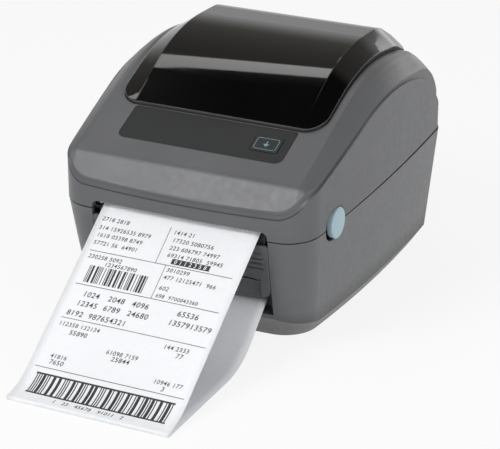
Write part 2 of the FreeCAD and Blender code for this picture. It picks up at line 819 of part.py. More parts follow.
usb_x, usb_width, usb_height = port_sizes["usb"]
usb_middle = port_floor + usb_height / 2
usb_hole = slab([
    (usb_x - 4.2, usb_middle - 3.9, 0),
    (usb_x + 4.2, usb_middle - 3.9, 0),
    (usb_x + 4.2, usb_middle + 1.6, 0),
    (usb_x + 2.4, usb_middle + 3.9, 0),
    (usb_x - 2.4, usb_middle + 3.9, 0),
    (usb_x - 4.2, usb_middle + 1.6, 0),
], in_xz(port_face - 9), Vector(0, 20, 0))
usb_tongue = box(usb_x - 2.8, usb_x + 2.8, port_face - 9.5, port_face - 1.2,
                 usb_middle - 1.6, usb_middle + 1.6)
usb = join(port_body("usb").cut(usb_hole), usb_tongue)

serial_x, serial_width, serial_height = port_sizes["serial"]
serial_middle = port_floor + serial_height / 2
serial_collar = slab([
    (serial_x - 8.4, serial_middle - 3.9, 2.4),
    (serial_x + 8.4, serial_middle - 3.9, 2.4),
    (serial_x + 9.4, serial_middle + 3.9, 2.4),
    (serial_x - 9.4, serial_middle + 3.9, 2.4),
], in_xz(port_face - 1), Vector(0, 5, 0))
serial = join(port_body("serial"), serial_collar)
serial_holes = []
for row in range(2):
    for column in range(5 - row):
        x = serial_x + 2.77 * (column - 2 + row / 2)
        z = serial_middle + 1.42 - 2.84 * row
        serial_holes.append(rod_y(0.55, port_face - 2, port_face + 10, x, z))
serial = serial.cut(serial_holes)
for side in (-1, 1):
    nut = rod_y(2.4, port_face - 1, port_face + 4, serial_x + side * 12.5, serial_middle)
    serial = join(serial, nut)

parallel_x, parallel_width, parallel_height = port_sizes["parallel"]
parallel_middle = port_floor + parallel_height / 2
parallel_hole = slab([
    (parallel_x - 24, parallel_middle - 4.6, 2),
    (parallel_x + 24, parallel_middle - 4.6, 2),
    (parallel_x + 25, parallel_middle + 4.6, 2),
    (parallel_x - 25, parallel_middle + 4.6, 2),
], in_xz(port_face - 7), Vector(0, 20, 0))
parallel_tongue = box(parallel_x - 21.5, parallel_x + 21.5, port_face - 8, port_face - 1,
                      parallel_middle - 2, parallel_middle + 2)
parallel = join(port_body("parallel").cut(parallel_hole), parallel_tongue)

power_x, power_width, power_height = port_sizes["power"]
power_middle = port_floor + power_height / 2
power_jack = port_body("power").cut(rod_y(3.9, port_face - 10, port_face + 5, power_x, power_middle))
power_jack = join(power_jack, rod_y(1.1, port_face - 12, port_face - 1, power_x, power_middle))

# Power switch: a rocker in a frame, tipped to the off side at rest
switch_face = rear_wall_y + 1.4
switch_frame = box(switch_x - switch_width / 2, switch_x + switch_width / 2, switch_face - 14, switch_face,
                   switch_z - switch_height / 2, switch_z + switch_height / 2)
rocker_half = switch_width / 2 - 1.6
rocker_reach = switch_height / 2 - 1.8
rocker_pocket = box(switch_x - rocker_half - fit_gap, switch_x + rocker_half + fit_gap,
                    switch_face - 8, switch_face + 5,
                    switch_z - rocker_reach - 0.6, switch_z + rocker_reach + 0.6)
rocker_axis_y = switch_face - 3.6
rocker_pin_radius = 1.2
pin_seats = rod_x(rocker_pin_radius + shaft_gap, switch_x - rocker_half - 1.1, switch_x + rocker_half + 1.1,
                  rocker_axis_y, switch_z)
switch_frame = switch_frame.cut([rocker_pocket, pin_seats])
rocker = slab([
    (rocker_axis_y - 1.6, switch_z - 2.2, 0.8),
    (rocker_axis_y + 2.4, switch_z - rocker_reach, 0.6),
    (rocker_axis_y + 5.4, switch_z - rocker_reach, 0.8),
    (rocker_axis_y + 4.2, switch_z, 30),
    (rocker_axis_y + 5.4, switch_z + rocker_reach, 0.8),
    (rocker_axis_y + 2.4, switch_z + rocker_reach, 0.6),
    (rocker_axis_y - 1.6, switch_z + 2.2, 0.8),
], in_yz(switch_x - rocker_half), Vector(2 * rocker_half, 0, 0))
rocker_pins = rod_x(rocker_pin_radius, switch_x - rocker_half - 0.9, switch_x + rocker_half + 0.9,
                    rocker_axis_y, switch_z)
rocker = join(rocker, rocker_pins)
rocker_tilt = 8.0
rocker.rotate(Vector(switch_x, rocker_axis_y, switch_z), Vector(1, 0, 0), rocker_tilt)

# Hinge pin and rubber feet
hinge_pin = rod_x(hinge_pin_radius, -base_knuckle_end, base_knuckle_end, hinge_y, hinge_z)
foot_front_x = skirt_half - 25
foot_rear_x = skirt_half - 20
foot_front_y = skirt_front + 14
foot_rear_y = skirt_rear - 14
foot_places = [
    (-foot_front_x, foot_front_y),
    (foot_front_x, foot_front_y),
    (-foot_rear_x, foot_rear_y),
    (foot_rear_x, foot_rear_y),
]


def foot(x, y):
    return Part.makeCone(6, 7.5, foot_height, Vector(x, y, 0))


# Latches: a lever in the base with a round thumb pad outside
hook_low = seam_height + 2
hook_end = latch_y + latch_radius + 3.5
pad_apex = latch_side + 1.0


def latch():
    lever = slab([
        (latch_y - 5, latch_pivot_z - 5, 4.9),
        (latch_y + 5, latch_pivot_z - 5, 4.9),
        (latch_y + 5, latch_pivot_z + 14, 8),
        (latch_y + 4, seam_height - 6, 6),
        (latch_y + 4, hook_low, 2),
        (hook_end, hook_low, 0.6),
        (hook_end - 2, hook_low + 4.5, 0.6),
        (latch_y - 4, hook_low + 4.5, 2),
        (latch_y - 4, seam_height - 6, 6),
        (latch_y - 5, latch_pivot_z + 14, 8),
    ], in_yz(lever_x), Vector(lever_sheet, 0, 0))
    stem = rod_x(4, lever_x + 1, pad_apex - 3, latch_y, seam_height)
    rim = latch_radius - 1.0
    rim_drop = dome_radius - math.sqrt(dome_radius ** 2 - rim ** 2)
    half_drop = dome_radius - math.sqrt(dome_radius ** 2 - rim ** 2 / 4)
    side_drop = rim_drop + 1.0
    turn = math.sqrt(0.5)
    profile = Part.Wire([
        Part.LineSegment(Vector(-4, 0, 0), Vector(-4, latch_radius, 0)).toShape(),
        Part.LineSegment(Vector(-4, latch_radius, 0), Vector(-side_drop, latch_radius, 0)).toShape(),
        Part.Arc(Vector(-side_drop, latch_radius, 0), Vector(-side_drop + turn, rim + turn, 0),
                 Vector(-rim_drop, rim, 0)).toShape(),
        Part.Arc(Vector(-rim_drop, rim, 0), Vector(-half_drop, rim / 2, 0), Vector(0, 0, 0)).toShape(),
        Part.LineSegment(Vector(0, 0, 0), Vector(-4, 0, 0)).toShape(),
    ])
    pad = Part.Face(profile).revolve(Vector(0, 0, 0), Vector(1, 0, 0), 360)
    pad.translate(Vector(pad_apex, latch_y, seam_height))
    lever = join(lever, stem, pad)
    return lever.cut(rod_x(latch_pin_radius + shaft_gap, lever_x - 5, lever_x + 5, latch_y, latch_pivot_z))


latch_right = latch()
latch_left = mirrored(latch_right)
latch_pin = rod_x(latch_pin_radius, lever_x - 1.2, latch_pin_end, latch_y, latch_pivot_z)
latch_pin = join(latch_pin, rod_x(3, lever_x - 1.8, lever_x - 0.4, latch_y, latch_pivot_z))

# Cover: stepped shell with openings for the window, key, feed slot, latches and hinge
cover_inner = roof_form(2.8, lowest_seam - 6)
cover = seam_side(step_form().fuse(roof_form(0, lowest_seam - 3)), True).cut(cover_inner)
cover_cuts = [window_plan(0.2, seam_height + 20, top_height + 20)]
cover_cuts.append(slab([
    (-slot_half, lowest_seam - 5, 0),
    (slot_half, lowest_seam - 5, 0),
    (slot_half, slot_top, slot_round),
    (-slot_half, slot_top, slot_round),
], in_xz(housing_front - 10), Vector(0, 18, 0)))
cover_cuts += [latch_slot, mirrored(latch_slot)]
for x0, x1 in knuckle_ends:
    cover_cuts.append(rod_x(knuckle_radius + fit_gap, x0 - fit_gap, x1 + fit_gap, hinge_y, hinge_z))
cover_knuckle = rod_x(knuckle_radius, -cover_knuckle_half, cover_knuckle_half, hinge_y, hinge_z)

# The control panel lies on the sloping plane in front of the window
panel_angle = math.atan(panel_slope)
panel_y = -68.0
panel_z = roof_line(panel_y)
panel_half = 53.5
panel_low = -12.5
panel_high = 15.5
panel_recess = 0.7
overlay_sheet = 0.5
key_x = 38.7
key_y = 1.8
key_half_width = 8.7
key_half_height = 6.3
key_gap = 0.35


def on_panel(shape):
    placed = shape.copy()
    turn = FreeCAD.Rotation(Vector(1, 0, 0), math.degrees(panel_angle))
    placed.Placement = FreeCAD.Placement(Vector(0, panel_y, panel_z), turn)
    return placed


def panel_plate(margin, low, high):
    return slab([
        (-panel_half - margin, panel_low - margin, 5 + margin),
        (panel_half + margin, panel_low - margin, 5 + margin),
        (panel_half + margin, panel_high + margin, 2 + margin),
        (-panel_half - margin, panel_high + margin, 2 + margin),
    ], in_xy(low), Vector(0, 0, high - low))


def key_block(margin, low, high):
    return slab([
        (key_x - key_half_width - margin, key_y - key_half_height - margin, 1.5 + margin),
        (key_x + key_half_width + margin, key_y - key_half_height - margin, 1.5 + margin),
        (key_x + key_half_width + margin, key_y + key_half_height + margin, 1.5 + margin),
        (key_x - key_half_width - margin, key_y + key_half_height + margin, 1.5 + margin),
    ], in_xy(low), Vector(0, 0, high - low))


cover_cuts.append(on_panel(panel_plate(0.15, -panel_recess, 10)))
cover_cuts.append(on_panel(key_block(key_gap, -10, 10)))
cover = cover.cut(cover_cuts)
cover = cover.fuse(cover_knuckle)
cover = cover.cut(rod_x(hinge_pin_radius + shaft_gap, -100, 100, hinge_y, hinge_z))
catch = box(lever_x, latch_side - step_inset - 1.5, hook_end + slide_gap, hook_end + 4.4,
            hook_low - 1, hook_low + 3)
cover = cover.fuse([catch, mirrored(catch)])
overlay_top = overlay_sheet - panel_recess
overlay = on_panel(panel_plate(0, -panel_recess, overlay_top).cut(key_block(key_gap, -5, 5)))
key_stem = rod_z(2.0, -9.0, -2.0, key_x, key_y)
feed_key = on_panel(join(key_block(0, -2.4, 0.1), key_stem))
board_drop = 12.0
control_board = box(-14, 44, panel_low + 2, panel_high - 4, -board_drop, -board_drop + 1.6)
switch_block = box(key_x - 3, key_x + 3, key_y - 3, key_y + 3, -board_drop + 1.6, -10.0)
board_studs = [rod_z(2.2, -board_drop + 1.6, -2.4, x, 5.5) for x in (-10, 20)]
control_board = on_panel(control_board)
tact_switch = on_panel(switch_block)
cover = cover.fuse([on_panel(stud) for stud in board_studs])

# Window dome with a flange under the roof
window = window_form(0).cut(window_form(window_wall)).cut(cover_inner)

# Print head on a sprung bracket, hung from the cover above the platen
strip_top = platen_z + platen_radius + 0.1 + strip_thickness
head_bottom = strip_top + 0.15
head_half = 54.0
head_front = platen_y - 4.5
head = box(-head_half, head_half, head_front, platen_y + 6, head_bottom, head_bottom + 1.2)
sink_top = head_bottom + 8.5
sink = slab([
    (head_front, head_bottom + 1.2, 0),
    (platen_y + 10, head_bottom + 1.2, 0),
    (platen_y + 10, sink_top, 1.5),
    (head_front + 1.5, sink_top, 1.5),
    (head_front, sink_top - 4, 1),
], in_yz(-head_half), Vector(2 * head_half, 0, 0))
pivot_y = platen_y + 22
pivot_z = sink_top + 3.5
pivot_radius = 1.6
bracket_sheet = 1.5
bracket = slab([
    (platen_y - 2, sink_top, 0),
    (pivot_y - 6, sink_top, 3),
    (pivot_y - 2, pivot_z - 3.2, 1.5),
    (pivot_y + 3.2, pivot_z - 3.2, 3),
    (pivot_y + 3.2, pivot_z + 3.2, 3),
    (pivot_y - 3.2, pivot_z + 3.2, 3),
    (pivot_y - 8, sink_top + bracket_sheet, 3),
    (platen_y - 2, sink_top + bracket_sheet, 0),
], in_yz(-46), Vector(92, 0, 0))
bracket = bracket.cut(rod_x(pivot_radius, -100, 100, pivot_y, pivot_z))
bracket_low = sink_top + bracket_sheet + 0.2
for x0 in (-34, -11, 12):
    bracket = bracket.cut(box(x0, x0 + 22, pivot_y - 7, pivot_y + 6, bracket_low, pivot_z + 8))
lug_start = 48.2
lug_end = 51.6
pivot_rod = rod_x(pivot_radius, -lug_end - 0.5, lug_end + 0.5, pivot_y, pivot_z)
mount_roof = panel_z + math.tan(panel_angle) * (pivot_y - panel_y) - 2.4


def head_lug(x0, x1):
    lug = slab([
        (pivot_y - 5, pivot_z - 5, 4.5),
        (pivot_y + 5, pivot_z - 5, 4.5),
        (pivot_y + 5, mount_roof + 20, 0),
        (pivot_y - 5, mount_roof + 20, 0),
    ], in_yz(x0), Vector(x1 - x0, 0, 0))
    lug = lug.common(roof_form(1.6, lowest_seam))
    return lug.cut(rod_x(pivot_radius + shaft_gap, -100, 100, pivot_y, pivot_z))


cover = cover.fuse([head_lug(lug_start, lug_end), head_lug(-lug_end, -lug_start)])

# Label strip: off the roll, under the head, out of the slot, down to the table and back
def strip_face(points, thickness, x):
    """Ribbon of even thickness along a line of straight runs and rounded bends."""
    pieces = []
    for i in range(1, len(points) - 1):
        a, b, radius = points[i]
        corner = Vector(a, b, 0)
        before = Vector(points[i - 1][0], points[i - 1][1], 0) - corner
        after = Vector(points[i + 1][0], points[i + 1][1], 0) - corner
        before.normalize()
        after.normalize()
        half_angle = before.getAngle(after) / 2
        reach = radius / math.tan(half_angle)
        inward = before + after
        inward.normalize()
        centre = corner + inward * (radius / math.sin(half_angle))
        pieces.append((corner + before * reach, corner + after * reach, centre, inward, radius))
    edges = []
    for sign in (1, -1):
        chain = []
        start = Vector(points[0][0], points[0][1], 0)
        for begin, end, centre, inward, radius in pieces:
            heading = begin - start
            heading.normalize()
            normal = Vector(-heading.y, heading.x, 0) * (sign * thickness / 2)
            if (begin - start).Length > 1e-6:
                chain.append(("line", start + normal, begin + normal))
            bent = radius + (thickness / 2 if (begin + normal - centre).Length > radius else -thickness / 2)
            first = begin - centre
            first.normalize()
            final = end - centre
            final.normalize()
            chain.append(("arc", centre + first * bent, centre - inward * bent, centre + final * bent))
            start = end
        tail = Vector(points[-1][0], points[-1][1], 0)
        heading = tail - start
        heading.normalize()
        normal = Vector(-heading.y, heading.x, 0) * (sign * thickness / 2)
        chain.append(("line", start + normal, tail + normal))
        edges.append(chain)
    place = in_yz(x)
    shapes = []
    for chain in edges:
        for piece in chain:
            if piece[0] == "line":
                shapes.append(Part.LineSegment(place(piece[1]), place(piece[2])).toShape())
            else:
                shapes.append(Part.Arc(place(piece[1]), place(piece[2]), place(piece[3])).toShape())
    for index in (0, -1):
        ends = []
        for chain in edges:
            piece = chain[index]
            ends.append(piece[1] if index == 0 else piece[-1])
        shapes.append(Part.LineSegment(place(ends[0]), place(ends[1])).toShape())
    return Part.Face(Part.Wire(Part.__sortEdges__(shapes)))


nip_z = platen_z + platen_radius + 0.1 + strip_thickness / 2
guide_bend_y = platen_y + 29
web_radius = roll_radius + 0.35 + strip_thickness / 2
span = math.hypot(roll_y - guide_bend_y, roll_z - nip_z)
lift = math.atan2(roll_z - nip_z, roll_y - guide_bend_y) + math.asin(web_radius / span)
run = math.sqrt(span ** 2 - web_radius ** 2)
table_gap = 0.15 + strip_thickness / 2
fold_run = 13.6929
label_slope = 0.70
bend_y = platen_y - 4.4
toe_y = bend_y - (nip_z - 4.0) / label_slope
fold_y = toe_y - fold_run
strip_points = [
    (guide_bend_y + run * math.cos(lift), nip_z + run * math.sin(lift), 0),
    (guide_bend_y, nip_z, 20),
    (bend_y, nip_z, 8),
    (toe_y, 4.0, 40),
    (fold_y, table_gap + 2.4, 1.15),
    (fold_y, table_gap, 1.15),
    (platen_y - 32.5, table_gap, 50),
    (pocket_back - 3.5, pocket_bottom + 7.4, 0),
]
strip = strip_face(strip_points, strip_thickness, -label_width / 2).extrude(Vector(label_width, 0, 0))

# Tear bar on the upper lip of the slot
bar_low = slot_top
bar_front = housing_front + 1.2
tooth_count = 36
bar_half = slot_half - slot_round - 0.5
tooth_pitch = 2 * bar_half / tooth_count
bar_points = [(-bar_half, bar_front + 4, 0)]
for index in range(tooth_count):
    bar_points.append((tooth_pitch * (index + 0.5) - bar_half, bar_front, 0))
    bar_points.append((tooth_pitch * (index + 1) - bar_half, bar_front + 0.9, 0))
bar_points.append((bar_half, bar_front + 4, 0))
tear_bar = slab(bar_points, in_xy(bar_low - 0.8), Vector(0, 0, 0.8))

nodes = {
    "base_housing": base,
    "front_bezel": bezel,
    "media_tray": tray,
    "roll_holder_left": holder_left,
    "roll_holder_right": holder_right,
    "guide_pinion": guide_gear,
    "label_roll": roll,
    "roll_core": core,
    "platen_frame": frame,
    "platen_shaft": shaft,
    "platen_rubber": rubber,
    "platen_gear": platen_gear,
    "platen_bearing_left": bearing_left,
    "platen_bearing_right": bearing_right,
    "compound_gear": compound,
    "idler_pin": idler_pin,
    "stepper_motor": motor,
    "motor_shaft": rotor,
    "motor_pinion": pinion,
    "media_sensor": sensor,
    "main_board": board,
    "usb_socket": usb,
    "serial_socket": serial,
    "parallel_socket": parallel,
    "power_socket": power_jack,
    "switch_frame": switch_frame,
    "power_rocker": rocker,
    "hinge_pin": hinge_pin,
    "latch_left": latch_left,
    "latch_right": latch_right,
    "latch_pin_left": mirrored(latch_pin),
    "latch_pin_right": latch_pin,
    "top_cover": cover,
    "viewing_window": window,
    "control_overlay": overlay,
    "feed_key": feed_key,
    "control_board": control_board,
    "tact_switch": tact_switch,
    "print_head": head,
    "head_heat_sink": sink,
    "head_bracket": bracket,
    "head_pivot_rod": pivot_rod,
    "label_strip": strip,
    "tear_bar": tear_bar,
}
foot_names = ["foot_front_left", "foot_front_right", "foot_rear_left", "foot_rear_right"]
for name, place in zip(foot_names, foot_places):
    nodes[name] = foot(*place)

os.makedirs("parts", exist_ok=True)
for name, shape in nodes.items():
    solids = shape.Solids
    if len(solids) == 1:
        shape = solids[0]
    if len(solids) != 1 or not shape.isValid():
        print("check", name, "solids", len(solids), "valid", shape.isValid())
    shape.exportStep("parts/" + name + ".step")
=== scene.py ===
"""A desktop label printer: its finishes, the printed label, the light and the camera."""
import json
import math
import random

import bmesh
import bpy
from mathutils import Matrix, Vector


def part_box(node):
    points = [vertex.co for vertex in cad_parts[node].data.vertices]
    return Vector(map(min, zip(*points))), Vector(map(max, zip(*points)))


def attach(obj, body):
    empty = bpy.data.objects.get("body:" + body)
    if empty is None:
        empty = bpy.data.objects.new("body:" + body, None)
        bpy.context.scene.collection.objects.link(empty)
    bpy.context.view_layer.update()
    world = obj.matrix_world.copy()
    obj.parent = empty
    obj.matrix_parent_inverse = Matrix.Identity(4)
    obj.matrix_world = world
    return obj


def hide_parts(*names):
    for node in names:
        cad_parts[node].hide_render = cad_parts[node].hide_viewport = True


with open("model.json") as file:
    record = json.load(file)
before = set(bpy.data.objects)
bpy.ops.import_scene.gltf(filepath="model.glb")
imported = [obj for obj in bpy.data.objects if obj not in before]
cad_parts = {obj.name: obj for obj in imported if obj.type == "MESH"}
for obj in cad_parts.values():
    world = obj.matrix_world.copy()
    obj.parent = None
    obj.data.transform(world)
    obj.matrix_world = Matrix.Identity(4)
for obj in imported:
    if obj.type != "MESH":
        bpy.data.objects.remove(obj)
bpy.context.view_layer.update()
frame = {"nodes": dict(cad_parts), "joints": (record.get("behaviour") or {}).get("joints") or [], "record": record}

nodes = frame["nodes"]
record = frame["record"]
scene = bpy.context.scene
scene.view_settings.view_transform = "Standard"
mm = 0.001

# Camera, taken from the photograph's vanishing lines and the label's width
camera_place = Vector((0.540785, -1.128513, 0.576154))
camera_azimuth = math.radians(25.77)
camera_elevation = math.radians(23.49)
camera_lens = 156.825
camera_sensor = 36
camera_reach = 50

# Label strip, as it runs from the roll over the platen and down to the table
strip_width = 102 * mm
strip_thickness = 0.25 * mm
strip_lift = 0.1 * mm
strip_step = 4 * mm
strip_columns = 18

# Set that the paper keeps from the roll, over a share of the part that hangs free
strip_cup = 0.5 * mm
cup_start = 0.1
cup_end = 0.9

# Corners of the strip's path, measured from the roll, the platen, the table and the fold
roll_clearance = 0.35 * mm
guide_behind = 29 * mm
guide_radius = 20 * mm
slot_ahead = 4.4 * mm
slot_radius = 8 * mm
toe_behind = 13.693 * mm
toe_height = 4.0 * mm
toe_radius = 40 * mm
fold_rise = 2.4 * mm
fold_radius = 1.15 * mm
return_ahead = 32.5 * mm
return_radius = 50 * mm
end_behind = 3.3 * mm
end_height = 30.4 * mm

# Print, a thin skin that is cut into steps so that it follows the paper
print_lift = 0.03 * mm
print_step = 2 * mm
print_column = 6

# Label layout, in millimetres across the label and along it from the slot
divider_width = 0.35
rule_width = 0.4
bearer_width = 1.1
small_text = 2.8
large_text = 3.6
font_scale = 1.38
text_slant = 0.1
text_weight = 0.014
text_spacing = 1.1
text_smoothness = 3
wide_bar = 2.6

# Finishes: the range of noise in use, and where a painted highlight along a crease starts and ends
noise_low = 0.25
noise_high = 0.75
edge_samples = 6
crease_samples = 8
crease_full = 0.984
crease_none = 0.998
line_core = 0.5

# Seam between base and cover, a plane that rises to the rear, along which a thin dark line of painted shade stands
# for the shade in the gap
seam_slope = 0.035
seam_middle = 76.754 * mm
seam_reach = 0.55 * mm

# Step across the front of the cover, a plane that rises to the rear, with a dull ledge and a thin line of painted
# shade just below it that fades out behind the front
step_slope = 1.125
step_middle = 205.19 * mm
step_reach = 1.3 * mm
step_roughness = 0.9
step_line_drop = 0.6 * mm
step_line_reach = 0.6 * mm
step_line_shade = 0.4
step_end = -96 * mm
step_fade = 4 * mm

# Undercut skirt of the base, over which painted shade darkens its colour towards the bottom
skirt_low = 13 * mm
skirt_high = 25 * mm
skirt_shade = 0.4

# Rim of the dome, which dulls where its face turns away from straight up
rim_steep = 0.6
rim_flat = 0.8
rim_roughness = 0.5
# Radius over which a painted highlight lightens the dome's creases
dome_crease = 0.45 * mm

# Key symbol: a ring, and an arrow made of a stem and a head
key_face_depth = 0.2 * mm
symbol_lift = 0.05 * mm
symbol_inset = 1.6 * mm
symbol_line = 0.32 * mm
symbol_corner = 1.6 * mm
stem_half = 0.3 * mm
stem_top = 2.2 * mm
arrow_half = 2.0 * mm
arrow_neck = -0.2 * mm
arrow_tip = -2.3 * mm

# Wound roll
layer_pitch = 0.8 * mm
layer_stagger = 0.12 * mm
roll_segments = 120

# Floor and sky
floor_half = 30
floor_drop = 0.02 * mm
floor_shade = 0.86
floor_glow = 0.86
sky_light = (0.31, 0.31, 0.315, 1)
sky_stops = (
    (0.0, (1, 1, 1, 1)),
    (0.26, (0.96, 0.96, 0.96, 1)),
    (0.5, (0.34, 0.33, 0.3, 1)),
    (0.84, (0.3, 0.28, 0.25, 1)),
    (0.9, (0.03, 0.03, 0.031, 1)),
)
lamp_aim = Vector((0, -20 * mm, 70 * mm))

random.seed(7)


def linear(value):
    """One channel of a screen colour, from 0 to 255, as linear light."""
    share = value / 255
    if share <= 0.04045:
        return share / 12.92
    return ((share + 0.055) / 1.055) ** 2.4


def colour(red, green, blue):
    """A screen colour, from 0 to 255 in each channel, as linear light."""
    return (linear(red), linear(green), linear(blue), 1.0)


def scaled(tint, factor):
    """A colour made lighter or darker by a factor."""
    return (tint[0] * factor, tint[1] * factor, tint[2] * factor, 1.0)


class Finish:
    """A material's node tree, with short calls for the nodes that every finish uses."""

    def __init__(self, name):
        self.material = bpy.data.materials.new(name)
        self.material.use_nodes = True
        self.tree = self.material.node_tree
        self.shader = self.tree.nodes["Principled BSDF"]
        coordinates = self.add("ShaderNodeTexCoord")
        self.place = coordinates.outputs["Object"]
        self.facing = coordinates.outputs["Normal"]

    def add(self, kind):
        return self.tree.nodes.new(kind)

    def link(self, source, target):
        self.tree.links.new(source, target)

    def feed(self, sources, targets):
        """Links each output to its input, or writes a plain value there."""
        for source, target in zip(sources, targets):
            if isinstance(source, bpy.types.NodeSocket):
                self.link(source, target)
            else:
                target.default_value = source

    def number(self, operation, *sources):
        """One step of arithmetic."""
        node = self.add("ShaderNodeMath")
        node.operation = operation
        self.feed(sources, node.inputs)
        return node.outputs["Value"]

    def vector(self, operation, *sources):
        """One step of vector arithmetic."""
        node = self.add("ShaderNodeVectorMath")
        node.operation = operation
        self.feed(sources, node.inputs)
        return node.outputs["Value" if operation in ("DOT_PRODUCT", "LENGTH") else "Vector"]

    def along(self, axis, vector):
        """One part of a vector: X, Y or Z."""
        parts = self.add("ShaderNodeSeparateXYZ")
        self.link(vector, parts.inputs["Vector"])
        return parts.outputs[axis]

    def stretched(self, scale):
        """Places that are scaled by a factor for each axis."""
        mapping = self.add("ShaderNodeMapping")
        mapping.inputs["Scale"].default_value = scale
        self.link(self.place, mapping.inputs["Vector"])
        return mapping.outputs["Vector"]

    def noise(self, scale, detail=3.0, vector=None):
        texture = self.add("ShaderNodeTexNoise")
        texture.inputs["Scale"].default_value = scale
        texture.inputs["Detail"].default_value = detail
        self.link(vector or self.place, texture.inputs["Vector"])
        return texture.outputs["Fac"]

    def ramp(self, factor, low, high, start=0.3, end=0.7):
        """A colour that runs from low to high between two values of the factor."""
        node = self.add("ShaderNodeValToRGB")
        node.color_ramp.elements[0].position = start
        node.color_ramp.elements[0].color = low
        node.color_ramp.elements[1].position = end
        node.color_ramp.elements[1].color = high
        self.link(factor, node.inputs["Fac"])
        return node.outputs["Color"]

    def spread(self, source, start, end, low=0.0, high=1.0):
        """A value that runs from low to high while the source goes from start to end."""
        node = self.add("ShaderNodeMapRange")
        node.inputs["From Min"].default_value = start
        node.inputs["From Max"].default_value = end
        node.inputs["To Min"].default_value = low
        node.inputs["To Max"].default_value = high
        self.link(source, node.inputs["Value"])
        return node.outputs["Result"]

    def between(self, factor, low, high):
        """A noise spread over the range from low to high."""
        return self.spread(factor, noise_low, noise_high, low, high)

    def mixed(self, mask, first, second):
        """The value first where the mask is zero, and the linked second where it is one."""
        mix = self.add("ShaderNodeMixRGB")
        mix.inputs["Color1"].default_value = first
        self.link(mask, mix.inputs["Fac"])
        self.link(second, mix.inputs["Color2"])
        return mix.outputs["Color"]

    def softened(self, radius, samples):
        """The normal, rounded over the edges."""
        bevel = self.add("ShaderNodeBevel")
        bevel.samples = samples
        bevel.inputs["Radius"].default_value = radius
        return bevel.outputs["Normal"]

    def crease_highlight(self, shade, highlight_tint, radius):
        """Paints a highlight: lightens the colour in a thin line along the creases."""
        surface = self.add("ShaderNodeNewGeometry").outputs["Normal"]
        agreement = self.vector("DOT_PRODUCT", self.softened(radius, crease_samples), surface)
        return self.mixed(self.spread(agreement, crease_full, crease_none), highlight_tint, shade)

    def tint(self, source):
        self.link(source, self.shader.inputs["Base Color"])

    def rough(self, source):
        self.link(source, self.shader.inputs["Roughness"])

    def bump(self, height, depth, edge=0.0):
        """Fine relief of a given depth, over edges that are softened by a radius."""
        node = self.add("ShaderNodeBump")
        node.inputs["Strength"].default_value = 1.0
        node.inputs["Distance"].default_value = depth
        self.link(height, node.inputs["Height"])
        if edge:
            self.link(self.softened(edge, edge_samples), node.inputs["Normal"])
        self.link(node.outputs["Normal"], self.shader.inputs["Normal"])


def line_mask(finish, slope, middle, reach):
    """Zero in a thin line where a plane that rises to the rear cuts the surface, and one elsewhere."""
    height = finish.vector("DOT_PRODUCT", finish.place, (0.0, -slope, 1.0))
    away = finish.number("ABSOLUTE", finish.number("SUBTRACT", height, middle))
    return finish.spread(away, reach * line_core, reach)


def step_mask(finish, drop, reach):
    """A line along the ledge across the front of the cover, or at a drop below it."""
    line = line_mask(finish, step_slope, step_middle - drop, reach)
    behind = finish.spread(finish.along("Y", finish.place), step_end - step_fade, step_end)
    return finish.number("MAXIMUM", line, behind)


def moulded(name, tint, low_rough=0.36, high_rough=0.46, grain=0.006 * mm, edge=0.5 * mm,
            seam_shaded=False, skirt_shaded=False, step_shaded_and_dulled=False):
    """Moulded plastic with a fine spark texture and a faint cloudiness in its colour."""
    finish = Finish(name)
    shade = finish.ramp(finish.noise(28), scaled(tint, 0.94), scaled(tint, 1.05))
    gloss = finish.between(finish.noise(260), low_rough, high_rough)
    if seam_shaded:
        # Painted shade: a thin dark line along the seam, where shade falls into the gap between base and cover
        seam = line_mask(finish, seam_slope, seam_middle, seam_reach)
        shade = finish.mixed(seam, colour(26, 26, 27), shade)
    if skirt_shaded:
        # Painted shade: the colour darkens towards the bottom over the skirt, which faces down and gets less light
        rise = finish.spread(finish.along("Z", finish.place), skirt_low, skirt_high)
        shade = finish.mixed(rise, scaled(tint, skirt_shade), shade)
    if step_shaded_and_dulled:
        # Painted shade: a thin dark line just below the ledge, where shade falls in the step's corner; the ledge
        # itself only gets a duller gloss
        line = step_mask(finish, step_line_drop, step_line_reach)
        shade = finish.mixed(line, scaled(tint, step_line_shade), shade)
        dull = (step_roughness, step_roughness, step_roughness, 1.0)
        gloss = finish.mixed(step_mask(finish, 0.0, step_reach), dull, gloss)
    finish.tint(shade)
    finish.rough(gloss)
    finish.shader.inputs["Specular IOR Level"].default_value = 0.5
    finish.bump(finish.noise(1900, 2.0), grain, edge)
    return finish.material


def polished(name, tint, low_rough=0.16, high_rough=0.26, edge=0.3 * mm, shine=0.5):
    """Smooth plastic or film with faint smears in its gloss."""
    finish = Finish(name)
    finish.tint(finish.ramp(finish.noise(45), scaled(tint, 0.92), scaled(tint, 1.06)))
    finish.rough(finish.between(finish.noise(90, 4.0), low_rough, high_rough))
    finish.shader.inputs["Specular IOR Level"].default_value = shine
    finish.bump(finish.noise(700, 2.0), 0.004 * mm, edge)
    return finish.material


def smoked(name):
    """Smoked clear plastic, almost black, with a painted highlight along its creases and a dull rim."""
    finish = Finish(name)
    dark = (0.0018, 0.0018, 0.002, 1.0)
    shade = finish.ramp(finish.noise(20), scaled(dark, 0.8), scaled(dark, 1.2))
    # Painted highlight: a thin light line along the creases, standing in for the lamps' reflection on the rounded
    # edges
    finish.tint(finish.crease_highlight(shade, colour(96, 96, 94), dome_crease))
    rim = finish.spread(finish.along("Z", finish.facing), rim_steep, rim_flat, rim_roughness, 0.0)
    finish.rough(finish.number("ADD", finish.between(finish.noise(60, 4.0), 0.03, 0.06), rim))
    finish.shader.inputs["IOR"].default_value = 1.49
    finish.shader.inputs["Transmission Weight"].default_value = 0.12
    finish.bump(finish.noise(35, 1.0), 0.004 * mm, 1.2 * mm)
    return finish.material


